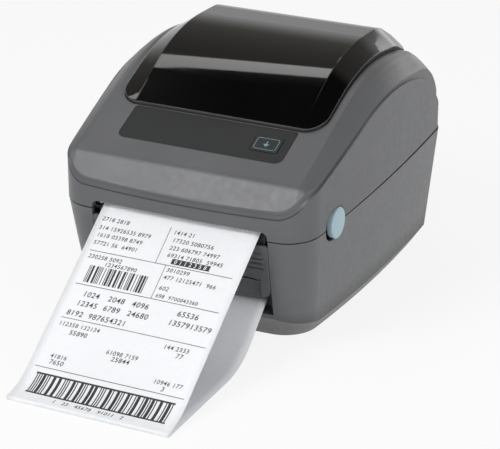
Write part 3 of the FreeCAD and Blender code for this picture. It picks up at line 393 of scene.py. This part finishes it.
def metal(name, tint, along, low_rough=0.24, high_rough=0.4):
    """Metal with a drawn or ground grain that runs along one axis."""
    finish = Finish(name)
    stretch = [2600.0, 2600.0, 2600.0]
    stretch[along] = 40.0
    grain = finish.noise(1.0, 4.0, finish.stretched(stretch))
    finish.tint(finish.ramp(finish.noise(60), scaled(tint, 0.86), scaled(tint, 1.06)))
    finish.rough(finish.between(grain, low_rough, high_rough))
    finish.shader.inputs["Metallic"].default_value = 1.0
    finish.bump(grain, 0.006 * mm, 0.15 * mm)
    return finish.material


def rubber(name, tint):
    """Matte rubber, with a ground skin and a trace of dust."""
    finish = Finish(name)
    dust = finish.number("MULTIPLY", finish.noise(140), finish.noise(900, 2.0))
    finish.tint(finish.ramp(dust, tint, scaled(tint, 2.2), 0.15, 0.6))
    finish.rough(finish.between(finish.noise(400), 0.62, 0.8))
    finish.bump(finish.noise(1500, 2.0), 0.03 * mm, 0.2 * mm)
    return finish.material


def paper(name, tint):
    """Smooth coated paper with a very faint mottle of fibres."""
    finish = Finish(name)
    mottle = finish.noise(420, 5.0)
    finish.tint(finish.ramp(mottle, scaled(tint, 0.975), tint))
    finish.rough(finish.between(finish.noise(180), 0.5, 0.62))
    finish.shader.inputs["Specular IOR Level"].default_value = 0.35
    finish.shader.inputs["Subsurface Weight"].default_value = 0.35
    finish.shader.inputs["Subsurface Radius"].default_value = (1.0, 1.0, 1.0)
    finish.shader.inputs["Subsurface Scale"].default_value = 1.2 * mm
    finish.bump(mottle, 0.006 * mm)
    return finish.material


def ink(name, tint):
    """Heat-darkened coating, a little uneven across each stroke."""
    finish = Finish(name)
    finish.tint(finish.ramp(finish.noise(1400, 3.0), tint, scaled(tint, 2.4)))
    finish.rough(finish.between(finish.noise(500), 0.45, 0.6))
    finish.bump(finish.noise(1200), 0.003 * mm)
    return finish.material


def wound(name, tint):
    """The edges of wound paper: thin rings in brightness round the roll's axis."""
    finish = Finish(name)
    low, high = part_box("label_roll")
    from_centre = finish.vector("SUBTRACT", finish.place, (low + high) / 2)
    from_axis = finish.vector("MULTIPLY", from_centre, (0.0, 1.0, 1.0))
    rings = finish.add("ShaderNodeTexNoise")
    rings.noise_dimensions = "1D"
    rings.inputs["Scale"].default_value = 2600
    finish.link(finish.vector("LENGTH", from_axis), rings.inputs["W"])
    finish.tint(finish.ramp(rings.outputs["Fac"], scaled(tint, 0.8), tint))
    finish.rough(finish.between(finish.noise(300), 0.55, 0.7))
    finish.bump(rings.outputs["Fac"], 0.03 * mm)
    return finish.material


def card(name, tint):
    """Kraft board with long fibres."""
    finish = Finish(name)
    fibres = finish.noise(1.0, 5.0, finish.stretched((120.0, 900.0, 900.0)))
    finish.tint(finish.ramp(fibres, scaled(tint, 0.78), scaled(tint, 1.08)))
    finish.rough(finish.between(fibres, 0.7, 0.88))
    finish.bump(fibres, 0.04 * mm)
    return finish.material


def circuit(name, tint):
    """Solder mask over copper runs, which show as a slightly lighter grid."""
    finish = Finish(name)
    runs = finish.add("ShaderNodeTexBrick")
    runs.inputs["Color1"].default_value = tint
    runs.inputs["Color2"].default_value = scaled(tint, 0.86)
    runs.inputs["Mortar"].default_value = scaled(tint, 1.7)
    runs.inputs["Scale"].default_value = 90
    runs.inputs["Mortar Size"].default_value = 0.012
    finish.link(finish.place, runs.inputs["Vector"])
    finish.tint(runs.outputs["Color"])
    finish.rough(finish.between(finish.noise(200), 0.22, 0.34))
    finish.bump(runs.outputs["Fac"], 0.02 * mm)
    return finish.material


# Finishes, one for each material slot of the record
finishes = {
    "base_grey": moulded("base_grey", colour(95, 96, 98), seam_shaded=True, skirt_shaded=True),
    "bezel_grey": moulded("bezel_grey", colour(86, 87, 89)),
    "cover_grey": moulded("cover_grey", colour(90, 91, 93), seam_shaded=True, step_shaded_and_dulled=True),
    "window_smoke": smoked("window_smoke"),
    "overlay_dark": polished("overlay_dark", colour(45, 46, 47), 0.36, 0.46, 0.15 * mm, 0.2),
    "key_dark": polished("key_dark", colour(47, 48, 49), 0.36, 0.46, 0.3 * mm, 0.22),
    "latch_blue": moulded("latch_blue", colour(160, 186, 196), 0.3, 0.4),
    "tray_grey": moulded("tray_grey", colour(56, 58, 61), 0.5, 0.62, 0.03 * mm),
    "holder_grey": moulded("holder_grey", colour(92, 102, 110), 0.34, 0.46, 0.012 * mm),
    "gear_white": moulded("gear_white", colour(222, 221, 212), 0.34, 0.46, 0.008 * mm, 0.1 * mm),
    "pinion_brass": metal("pinion_brass", colour(206, 168, 96), 0),
    "shaft_steel": metal("shaft_steel", colour(186, 187, 189), 0, 0.16, 0.28),
    "platen_rubber": rubber("platen_rubber", colour(38, 38, 40)),
    "bearing_black": moulded("bearing_black", colour(40, 40, 41), 0.35, 0.48, 0.01 * mm, 0.15 * mm),
    "frame_steel": metal("frame_steel", colour(176, 179, 184), 0, 0.28, 0.44),
    "motor_steel": metal("motor_steel", colour(168, 168, 166), 2, 0.26, 0.4),
    "sensor_black": moulded("sensor_black", colour(36, 36, 38), 0.35, 0.5, 0.01 * mm, 0.15 * mm),
    "board_green": circuit("board_green", colour(32, 92, 58)),
    "socket_steel": metal("socket_steel", colour(192, 192, 192), 2, 0.2, 0.34),
    "socket_black": moulded("socket_black", colour(36, 36, 37), 0.38, 0.52, 0.012 * mm, 0.15 * mm),
    "switch_black": polished("switch_black", colour(30, 30, 31)),
    "rocker_black": polished("rocker_black", colour(34, 34, 35)),
    "head_ceramic": polished("head_ceramic", colour(214, 209, 194), 0.34, 0.46, 0.1 * mm),
    "sink_aluminium": metal("sink_aluminium", colour(200, 202, 204), 0, 0.28, 0.42),
    "label_paper": paper("label_paper", colour(246, 248, 251)),
    "roll_paper": wound("roll_paper", colour(238, 240, 240)),
    "core_card": card("core_card", colour(170, 140, 102)),
    "bar_steel": metal("bar_steel", colour(188, 189, 191), 0, 0.18, 0.3),
    "foot_rubber": rubber("foot_rubber", colour(44, 44, 45)),
}


def dress(piece, slot_name):
    """Puts a slot's finish on a piece, whether or not it came with a material."""
    material = finishes[slot_name]
    if not piece.material_slots:
        piece.data.materials.append(material)
    for holder in piece.material_slots:
        holder.material = material


for part in record["subparts"]:
    dress(nodes[part["node"]], part["material_slot"])


def new_piece(name, mesh_builder, material):
    """A mesh object with one material, linked to the scene."""
    mesh = bpy.data.meshes.new(name)
    mesh_builder.to_mesh(mesh)
    mesh_builder.free()
    mesh.materials.append(material)
    piece = bpy.data.objects.new(name, mesh)
    scene.collection.objects.link(piece)
    return piece


def fill_grid(mesh_builder, rows, smooth=False):
    """Faces between rows of points that all have the same number of points."""
    for upper, lower in zip(rows, rows[1:]):
        for column in range(len(upper) - 1):
            face = mesh_builder.faces.new(
                (upper[column], lower[column], lower[column + 1], upper[column + 1]))
            face.smooth = smooth


# Path of the strip, from the frame: tangent to the roll, over the platen, down, folded and back
roll_low, roll_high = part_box("label_roll")
roll_centre = (roll_low + roll_high) / 2
roll_radius = (roll_high.z - roll_low.z) / 2
platen_low, platen_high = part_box("platen_rubber")
platen_y = (platen_low.y + platen_high.y) / 2
strip_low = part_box("label_strip")[0]
half_thickness = strip_thickness / 2
nip_height = platen_high.z + strip_lift + half_thickness
table_height = strip_low.z + half_thickness
fold_y = strip_low.y + half_thickness
toe_y = fold_y + toe_behind
slot_y = platen_y - slot_ahead
guide_y = platen_y + guide_behind
web_radius = roll_radius + roll_clearance + half_thickness


def tangent_on_roll():
    """Where a line from the guide point touches the top of the roll."""
    away_y = guide_y - roll_centre.y
    away_z = nip_height - roll_centre.z
    reach = math.hypot(away_y, away_z)
    turn = math.acos(web_radius / reach)
    heading = math.atan2(away_z, away_y) - turn
    return roll_centre.y + web_radius * math.cos(heading), roll_centre.z + web_radius * math.sin(heading)


start_y, start_z = tangent_on_roll()

# Corners of the path: place to the rear, height and rounding
path_corners = [
    (start_y, start_z, 0),
    (guide_y, nip_height, guide_radius),
    (slot_y, nip_height, slot_radius),
    (toe_y, toe_height, toe_radius),
    (fold_y, table_height + fold_rise, fold_radius),
    (fold_y, table_height, fold_radius),
    (platen_y - return_ahead, table_height, return_radius),
    (platen_y + end_behind, end_height, 0),
]


def rounded_path(corners, step, turn_step=math.radians(5)):
    """Points along a polyline whose corners are replaced by arcs of the given radii."""
    points = []

    def run_to(target):
        last = points[-1]
        count = max(1, math.ceil((target - last).length / step))
        for index in range(1, count + 1):
            points.append(last.lerp(target, index / count))

    points.append(Vector(corners[0][:2]))
    for index in range(1, len(corners) - 1):
        corner = Vector(corners[index][:2])
        radius = corners[index][2]
        inward = (corner - Vector(corners[index - 1][:2])).normalized()
        outward = (Vector(corners[index + 1][:2]) - corner).normalized()
        turn = math.atan2(inward.x * outward.y - inward.y * outward.x, inward.dot(outward))
        cut = radius * math.tan(abs(turn) / 2)
        run_to(corner - inward * cut)
        side = Vector((-inward.y, inward.x)) * math.copysign(radius, turn)
        centre = corner - inward * cut + side
        arm = -side
        count = max(2, math.ceil(abs(turn) / turn_step))
        for part_turn in range(1, count + 1):
            angle = turn * part_turn / count
            points.append(centre + Vector((
                arm.x * math.cos(angle) - arm.y * math.sin(angle),
                arm.x * math.sin(angle) + arm.y * math.cos(angle))))
    run_to(Vector(corners[-1][:2]))
    return points


strip_path = rounded_path(path_corners, strip_step)
path_reach = [0.0]
for before, after in zip(strip_path, strip_path[1:]):
    path_reach.append(path_reach[-1] + (after - before).length)


def path_at(distance):
    """A point on the strip's path, and the upward normal of the paper there."""
    index = 1
    while index < len(path_reach) - 1 and path_reach[index] < distance:
        index += 1
    span = path_reach[index] - path_reach[index - 1]
    share = (distance - path_reach[index - 1]) / span
    point = strip_path[index - 1].lerp(strip_path[index], share)
    along = (strip_path[index] - strip_path[index - 1]).normalized()
    return point, Vector((along.y, -along.x))


# The part that hangs free, from the slot to the toe
slot_corner = Vector((slot_y, nip_height))
slot_index = min(range(len(strip_path)), key=lambda index: (strip_path[index] - slot_corner).length)
slot_reach = path_reach[slot_index]
hang_length = math.hypot(toe_y - slot_y, toe_height - nip_height)


def cup_at(distance):
    """The paper keeps a little of the roll's set across the part that hangs free."""
    share = (distance - slot_reach) / hang_length
    if share <= cup_start or share >= cup_end:
        return 0.0
    return strip_cup * math.sin(math.pi * (share - cup_start) / (cup_end - cup_start)) ** 2


def on_strip(across, distance, lift):
    """A point above the paper, from its place across the width and along the path."""
    point, normal = path_at(distance)
    bow = 1 - (2 * across / strip_width) ** 2
    height = lift + cup_at(distance) * (bow - 0.5)
    return Vector((across, point.x + normal.x * height, point.y + normal.y * height))


def make_strip():
    """The whole web as one sheet, given its thickness by a modifier."""
    builder = bmesh.new()
    rows = []
    for distance in path_reach:
        row = []
        for column in range(strip_columns + 1):
            across = strip_width * (column / strip_columns - 0.5)
            row.append(builder.verts.new(on_strip(across, distance, 0.0)))
        rows.append(row)
    fill_grid(builder, rows, smooth=True)
    piece = new_piece("paper_strip", builder, finishes["label_paper"])
    skin = piece.modifiers.new("thickness", "SOLIDIFY")
    skin.thickness = strip_thickness
    skin.offset = 0.0
    return piece


paper_strip = make_strip()
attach(paper_strip, "base")
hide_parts("label_strip")

# Printed marks, each a thin skin on the paper
print_builder = bmesh.new()


def print_point(across, along, extra=0.0):
    """A point just above the paper, from millimetres across and along the label."""
    lift = half_thickness + print_lift + extra
    return on_strip(across * mm - strip_width / 2, slot_reach + along * mm, lift)


def print_block(left, right, top, bottom):
    """A filled rectangle of print, cut into steps so that it follows the paper."""
    rows = max(1, math.ceil((bottom - top) * mm / print_step))
    columns = max(1, math.ceil((right - left) / print_column))
    grid = []
    for row in range(rows + 1):
        along = top + (bottom - top) * row / rows
        grid.append([
            print_builder.verts.new(print_point(left + (right - left) * column / columns, along))
            for column in range(columns + 1)])
    fill_grid(print_builder, grid)


def text_mesh(words, height):
    """Flat outlines of a row of figures, in millimetres, standing on their base line."""
    curve = bpy.data.curves.new("figures", "FONT")
    curve.body = words
    curve.size = height * font_scale
    curve.shear = text_slant
    curve.offset = height * text_weight
    curve.space_character = text_spacing
    curve.resolution_u = text_smoothness
    holder = bpy.data.objects.new("figures", curve)
    scene.collection.objects.link(holder)
    bpy.context.view_layer.update()
    mesh = bpy.data.meshes.new_from_object(holder.evaluated_get(bpy.context.evaluated_depsgraph_get()))
    bpy.data.objects.remove(holder)
    bpy.data.curves.remove(curve)
    return mesh


def print_text(left, base, height, words, target, extra=0.0):
    """A row of figures printed with its base line at a distance along the label."""
    mesh = text_mesh(words, height)
    corners = [
        target.verts.new(print_point(left + vertex.co.x, base - vertex.co.y, extra))
        for vertex in mesh.vertices]
    for polygon in mesh.polygons:
        target.faces.new([corners[index] for index in polygon.vertices])
    bpy.data.meshes.remove(mesh)


# Narrow and wide bars for each figure from 0 to 9
narrow_wide = ("nnwwn", "wnnnw", "nwnnw", "wwnnn", "nnwnw", "wnwnn", "nwwnn", "nnnww", "wnnwn", "nwnwn")


def print_bars(left, right, top, bottom, figures):
    """Interleaved bars: each pair of figures sets five bars and the five gaps between them."""
    widths = [1, 1, 1, 1]
    for first, second in zip(figures[0::2], figures[1::2]):
        for bar, gap in zip(narrow_wide[int(first)], narrow_wide[int(second)]):
            widths.append(wide_bar if bar == "w" else 1)
            widths.append(wide_bar if gap == "w" else 1)
    widths += [wide_bar, 1, 1]
    unit = (right - left) / sum(widths)
    place = left
    for index, width in enumerate(widths):
        if index % 2 == 0:
            print_block(place, place + width * unit, top, bottom)
        place += width * unit


# Rules: left, right and place along the label
for left, right, along in (
        (4.6, 97, 34.6), (5.4, 97.8, 57.6), (6.4, 98.9, 80.6), (4.4, 99.2, 113.8)):
    print_block(left, right, along, along + rule_width)

# Dividers: left, top and bottom
for left, top, bottom in ((47.5, 9.9, 34.6), (54.5, 34.6, 57.6)):
    print_block(left, left + divider_width, top, bottom)

# Rows of plain figures: left end, base line, height and figures
for left, base, height, figures in (
        (3.2, 14.0, small_text, "2718 2818"),
        (3.6, 20.0, small_text, "314 15926535 8979"),
        (4.4, 25.1, small_text, "1618 03398 8749"),
        (4.5, 30.4, small_text, "57721 56  64901"),
        (50.4, 14.0, small_text, "1414 21"),
        (51.8, 19.2, small_text, "17320 5080756"),
        (52.0, 24.4, small_text, "223 606797 74997"),
        (52.7, 29.3, small_text, "69314 71805  59945"),
        (5.2, 39.8, small_text, "230258 5092"),
        (17.6, 43.5, small_text, "1234567890"),
        (56.2, 38.9, small_text, "3010299"),
        (56.4, 43.9, small_text, "477 12125471  966"),
        (56.6, 51.2, small_text, "602"),
        (56.6, 56.3, small_text - 0.3, "698  9700043360"),
        (13.0, 65.2, large_text, "1024"),
        (29.5, 65.2, large_text, "2048"),
        (45.0, 65.2, large_text, "4096"),
        (74.0, 65.2, large_text, "65536"),
        (11.6, 71.6, large_text, "12345"),
        (29.0, 71.6, large_text, "6789"),
        (44.6, 71.6, large_text, "24680"),
        (70.8, 71.6, large_text, "1357913579"),
        (8.1, 78.6, large_text, "8192  987654321"),
        (6.6, 86.0, small_text, "112358 132134"),
        (15.5, 90.8, small_text + 0.3, "55890"),
        (74.5, 86.6, small_text, "144 2333"),
        (83.7, 90.8, small_text + 0.3, "77"),
        (42.6, 97.6, small_text, "61098 7159"),
        (47.3, 101.3, small_text + 0.3, "25844"),
        (10.8, 107.2, small_text, "41816"),
        (11.6, 111.2, small_text + 0.3, "7650"),
        (77.3, 108.6, small_text, "10946 177"),
        (83.5, 112.4, small_text + 0.3, "3"),
        (27.0, 137.2, small_text, "1   23   45678   91011   2"),
):
    print_text(left, base, height, figures, print_builder)

# Small bars, and the wide bars between their bearer lines
print_bars(9.3, 47.4, 44.4, 56.0, "31415926")
print_bars(8.2, 95.0, 118.6, 131.8, "27182818284590")
for along in (117.5, 131.8):
    print_block(7.4, 95.8, along, along + bearer_width)

# A dark strip with figures left white in it
print_block(57.0, 81.6, 29.9, 33.5)
label_print = new_piece("label_print", print_builder, ink("print_ink", colour(34, 34, 36)))
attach(label_print, "base")
reversed_builder = bmesh.new()
print_text(58.6, 32.9, small_text - 0.2, "0 1 1 2 3 5 8 1 3", reversed_builder, print_lift)
reversed_figures = new_piece("reversed_figures", reversed_builder, finishes["label_paper"])
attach(reversed_figures, "base")

# Symbol on the feed key, laid on the key's own sloping face
key_axis = next(joint["axis"] for joint in frame["joints"] if joint["name"] == "key_press")
key_normal = -Vector(key_axis)
key_upward = Vector((0, key_normal.z, -key_normal.y))
key_points = [vertex.co for vertex in nodes["feed_key"].data.vertices]
key_face = max(point.dot(key_normal) for point in key_points)
key_top = [point for point in key_points if key_face - point.dot(key_normal) < key_face_depth]
key_left = min(point.x for point in key_top)
key_right = max(point.x for point in key_top)
key_low = min(point.dot(key_upward) for point in key_top)
key_high = max(point.dot(key_upward) for point in key_top)
symbol_builder = bmesh.new()


def on_key(across, upward):
    """A point just above the key's face, from its middle."""
    side = Vector(((key_left + key_right) / 2 + across, 0, 0))
    return side + key_upward * ((key_low + key_high) / 2 + upward) + key_normal * (key_face + symbol_lift)


def round_rectangle(half_across, half_upward, corner, steps=6):
    """Corner-rounded outline, anticlockwise from the right-hand side."""
    points = []
    for quarter, (sign_x, sign_y) in enumerate(((1, 1), (-1, 1), (-1, -1), (1, -1))):
        for step in range(steps + 1):
            angle = math.pi / 2 * (quarter + step / steps)
            points.append((
                sign_x * (half_across - corner) + corner * math.cos(angle),
                sign_y * (half_upward - corner) + corner * math.sin(angle)))
    return points


def symbol_ring(outer, inner):
    """The band between two outlines that have the same number of points."""
    first = [symbol_builder.verts.new(on_key(*point)) for point in outer]
    second = [symbol_builder.verts.new(on_key(*point)) for point in inner]
    for index in range(len(outer)):
        following = (index + 1) % len(outer)
        symbol_builder.faces.new((first[index], first[following], second[following], second[index]))


def symbol_shape(points):
    """A filled outline."""
    symbol_builder.faces.new([symbol_builder.verts.new(on_key(*point)) for point in points])


ring_across = (key_right - key_left) / 2 - symbol_inset
ring_upward = (key_high - key_low) / 2 - symbol_inset
symbol_ring(
    round_rectangle(ring_across, ring_upward, symbol_corner),
    round_rectangle(ring_across - symbol_line, ring_upward - symbol_line, symbol_corner - symbol_line))
symbol_shape([
    (-stem_half, stem_top), (-stem_half, arrow_neck), (stem_half, arrow_neck), (stem_half, stem_top)])
symbol_shape([(-arrow_half, arrow_neck), (0, arrow_tip), (arrow_half, arrow_neck)])
symbol_teal = polished("symbol_teal", colour(112, 158, 164), 0.35, 0.45, 0)
key_symbol = new_piece("key_symbol", symbol_builder, symbol_teal)
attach(key_symbol, "key")


def make_roll():
    """A turned body whose ends show the edges of the wound layers."""
    core_low, core_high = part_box("roll_core")
    inner = (core_high.z - core_low.z) / 2
    half = (roll_high.x - roll_low.x) / 2
    layers = round((roll_radius - inner) / layer_pitch)
    pitch = (roll_radius - inner) / layers
    right = []
    left = []
    for layer in range(layers):
        shift = random.uniform(-layer_stagger, 0)
        for radius in (inner + layer * pitch, inner + (layer + 1) * pitch):
            right.append((half + shift, radius))
            left.append((-half - shift, radius))
    builder = bmesh.new()
    rings = []
    for x, radius in right + left[::-1]:
        ring = []
        for segment in range(roll_segments):
            angle = 2 * math.pi * segment / roll_segments
            ring.append(builder.verts.new((
                roll_centre.x + x,
                roll_centre.y + radius * math.cos(angle),
                roll_centre.z + radius * math.sin(angle))))
        rings.append(ring)
    for index, ring in enumerate(rings):
        other = rings[(index + 1) % len(rings)]
        for segment in range(roll_segments):
            following = (segment + 1) % roll_segments
            builder.faces.new((ring[segment], ring[following], other[following], other[segment]))
    bmesh.ops.recalc_face_normals(builder, faces=builder.faces)
    return new_piece("wound_roll", builder, finishes["roll_paper"])


wound_roll = make_roll()
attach(wound_roll, "roll")
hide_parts("label_roll")


# Studio: a pale floor that keeps the shadow, a pale surround and soft lamps
def seen_rays(tree):
    """One where a ray comes from the camera, from a reflection or through glass."""
    path = tree.nodes.new("ShaderNodeLightPath")
    total = path.outputs["Is Camera Ray"]
    for ray in ("Is Glossy Ray", "Is Transmission Ray"):
        node = tree.nodes.new("ShaderNodeMath")
        node.operation = "MAXIMUM"
        tree.links.new(total, node.inputs[0])
        tree.links.new(path.outputs[ray], node.inputs[1])
        total = node.outputs["Value"]
    return total


def floor_finish():
    """A pale floor, part lit and part plain white to the eye, which keeps a soft shadow."""
    material = bpy.data.materials.new("studio_floor")
    material.use_nodes = True
    tree = material.node_tree
    shader = tree.nodes["Principled BSDF"]
    shader.inputs["Base Color"].default_value = (floor_shade, floor_shade, floor_shade, 1)
    shader.inputs["Roughness"].default_value = 0.9
    shader.inputs["Specular IOR Level"].default_value = 0.0
    glow = tree.nodes.new("ShaderNodeEmission")
    glow.inputs["Color"].default_value = (1, 1, 1, 1)
    glow.inputs["Strength"].default_value = 1.0
    part = tree.nodes.new("ShaderNodeMath")
    part.operation = "MULTIPLY"
    part.inputs[1].default_value = floor_glow
    blend = tree.nodes.new("ShaderNodeMixShader")
    tree.links.new(seen_rays(tree), part.inputs[0])
    tree.links.new(part.outputs["Value"], blend.inputs["Fac"])
    tree.links.new(shader.outputs["BSDF"], blend.inputs[1])
    tree.links.new(glow.outputs["Emission"], blend.inputs[2])
    tree.links.new(blend.outputs["Shader"], tree.nodes["Material Output"].inputs["Surface"])
    return material


floor_builder = bmesh.new()
bmesh.ops.create_grid(floor_builder, x_segments=1, y_segments=1, size=floor_half)
floor = new_piece("floor", floor_builder, floor_finish())
floor.location.z = -floor_drop

# Sky: what is seen and reflected by height, and a plain grey that lights the printer
world = bpy.data.worlds.new("studio")
scene.world = world
world.use_nodes = True
sky = world.node_tree
sky_place = sky.nodes.new("ShaderNodeTexCoord")
sky_parts = sky.nodes.new("ShaderNodeSeparateXYZ")
sky_ramp = sky.nodes.new("ShaderNodeValToRGB")
sky_mix = sky.nodes.new("ShaderNodeMixRGB")
stops = sky_ramp.color_ramp.elements
for stop, (height, shade) in zip(stops, (sky_stops[0], sky_stops[-1])):
    stop.position = height
    stop.color = shade
for height, shade in sky_stops[1:-1]:
    stops.new(height).color = shade
sky_mix.inputs["Color1"].default_value = sky_light
sky.links.new(sky_place.outputs["Generated"], sky_parts.inputs["Vector"])
sky.links.new(sky_parts.outputs["Z"], sky_ramp.inputs["Fac"])
sky.links.new(seen_rays(sky), sky_mix.inputs["Fac"])
sky.links.new(sky_ramp.outputs["Color"], sky_mix.inputs["Color2"])
sky.links.new(sky_mix.outputs["Color"], sky.nodes["Background"].inputs["Color"])


def softbox(name, place, width, depth, power):
    """A rectangular lamp that faces the printer."""
    lamp = bpy.data.lights.new(name, "AREA")
    lamp.shape = "RECTANGLE"
    lamp.size = width
    lamp.size_y = depth
    lamp.energy = power
    holder = bpy.data.objects.new(name, lamp)
    holder.location = place
    holder.rotation_euler = (lamp_aim - Vector(place)).to_track_quat("-Z", "Y").to_euler()
    scene.collection.objects.link(holder)


# Lamps: place, width, depth and power
softbox("overhead", (-0.4, -0.83, 0.92), 0.5, 0.5, 7.2)
softbox("front", (-0.2, -1.6, 0.7), 1.1, 0.8, 2.4)
softbox("right_side", (1.35, -0.62, 0.6), 0.9, 0.8, 9.5)
softbox("rear", (0.4, 1.6, 0.42), 1.0, 0.6, 2.6)
softbox("dome_strip", (-0.52, 0.37, 1.2), 1.1, 0.12, 1.45)

# Camera
camera_data = bpy.data.cameras.new("camera")
camera_data.sensor_fit = "HORIZONTAL"
camera_data.sensor_width = camera_sensor
camera_data.lens = camera_lens
camera_data.clip_end = camera_reach
camera = bpy.data.objects.new("camera", camera_data)
camera.location = camera_place
camera.rotation_euler = (math.pi / 2 - camera_elevation, 0, camera_azimuth)
scene.collection.objects.link(camera)
scene.camera = camera
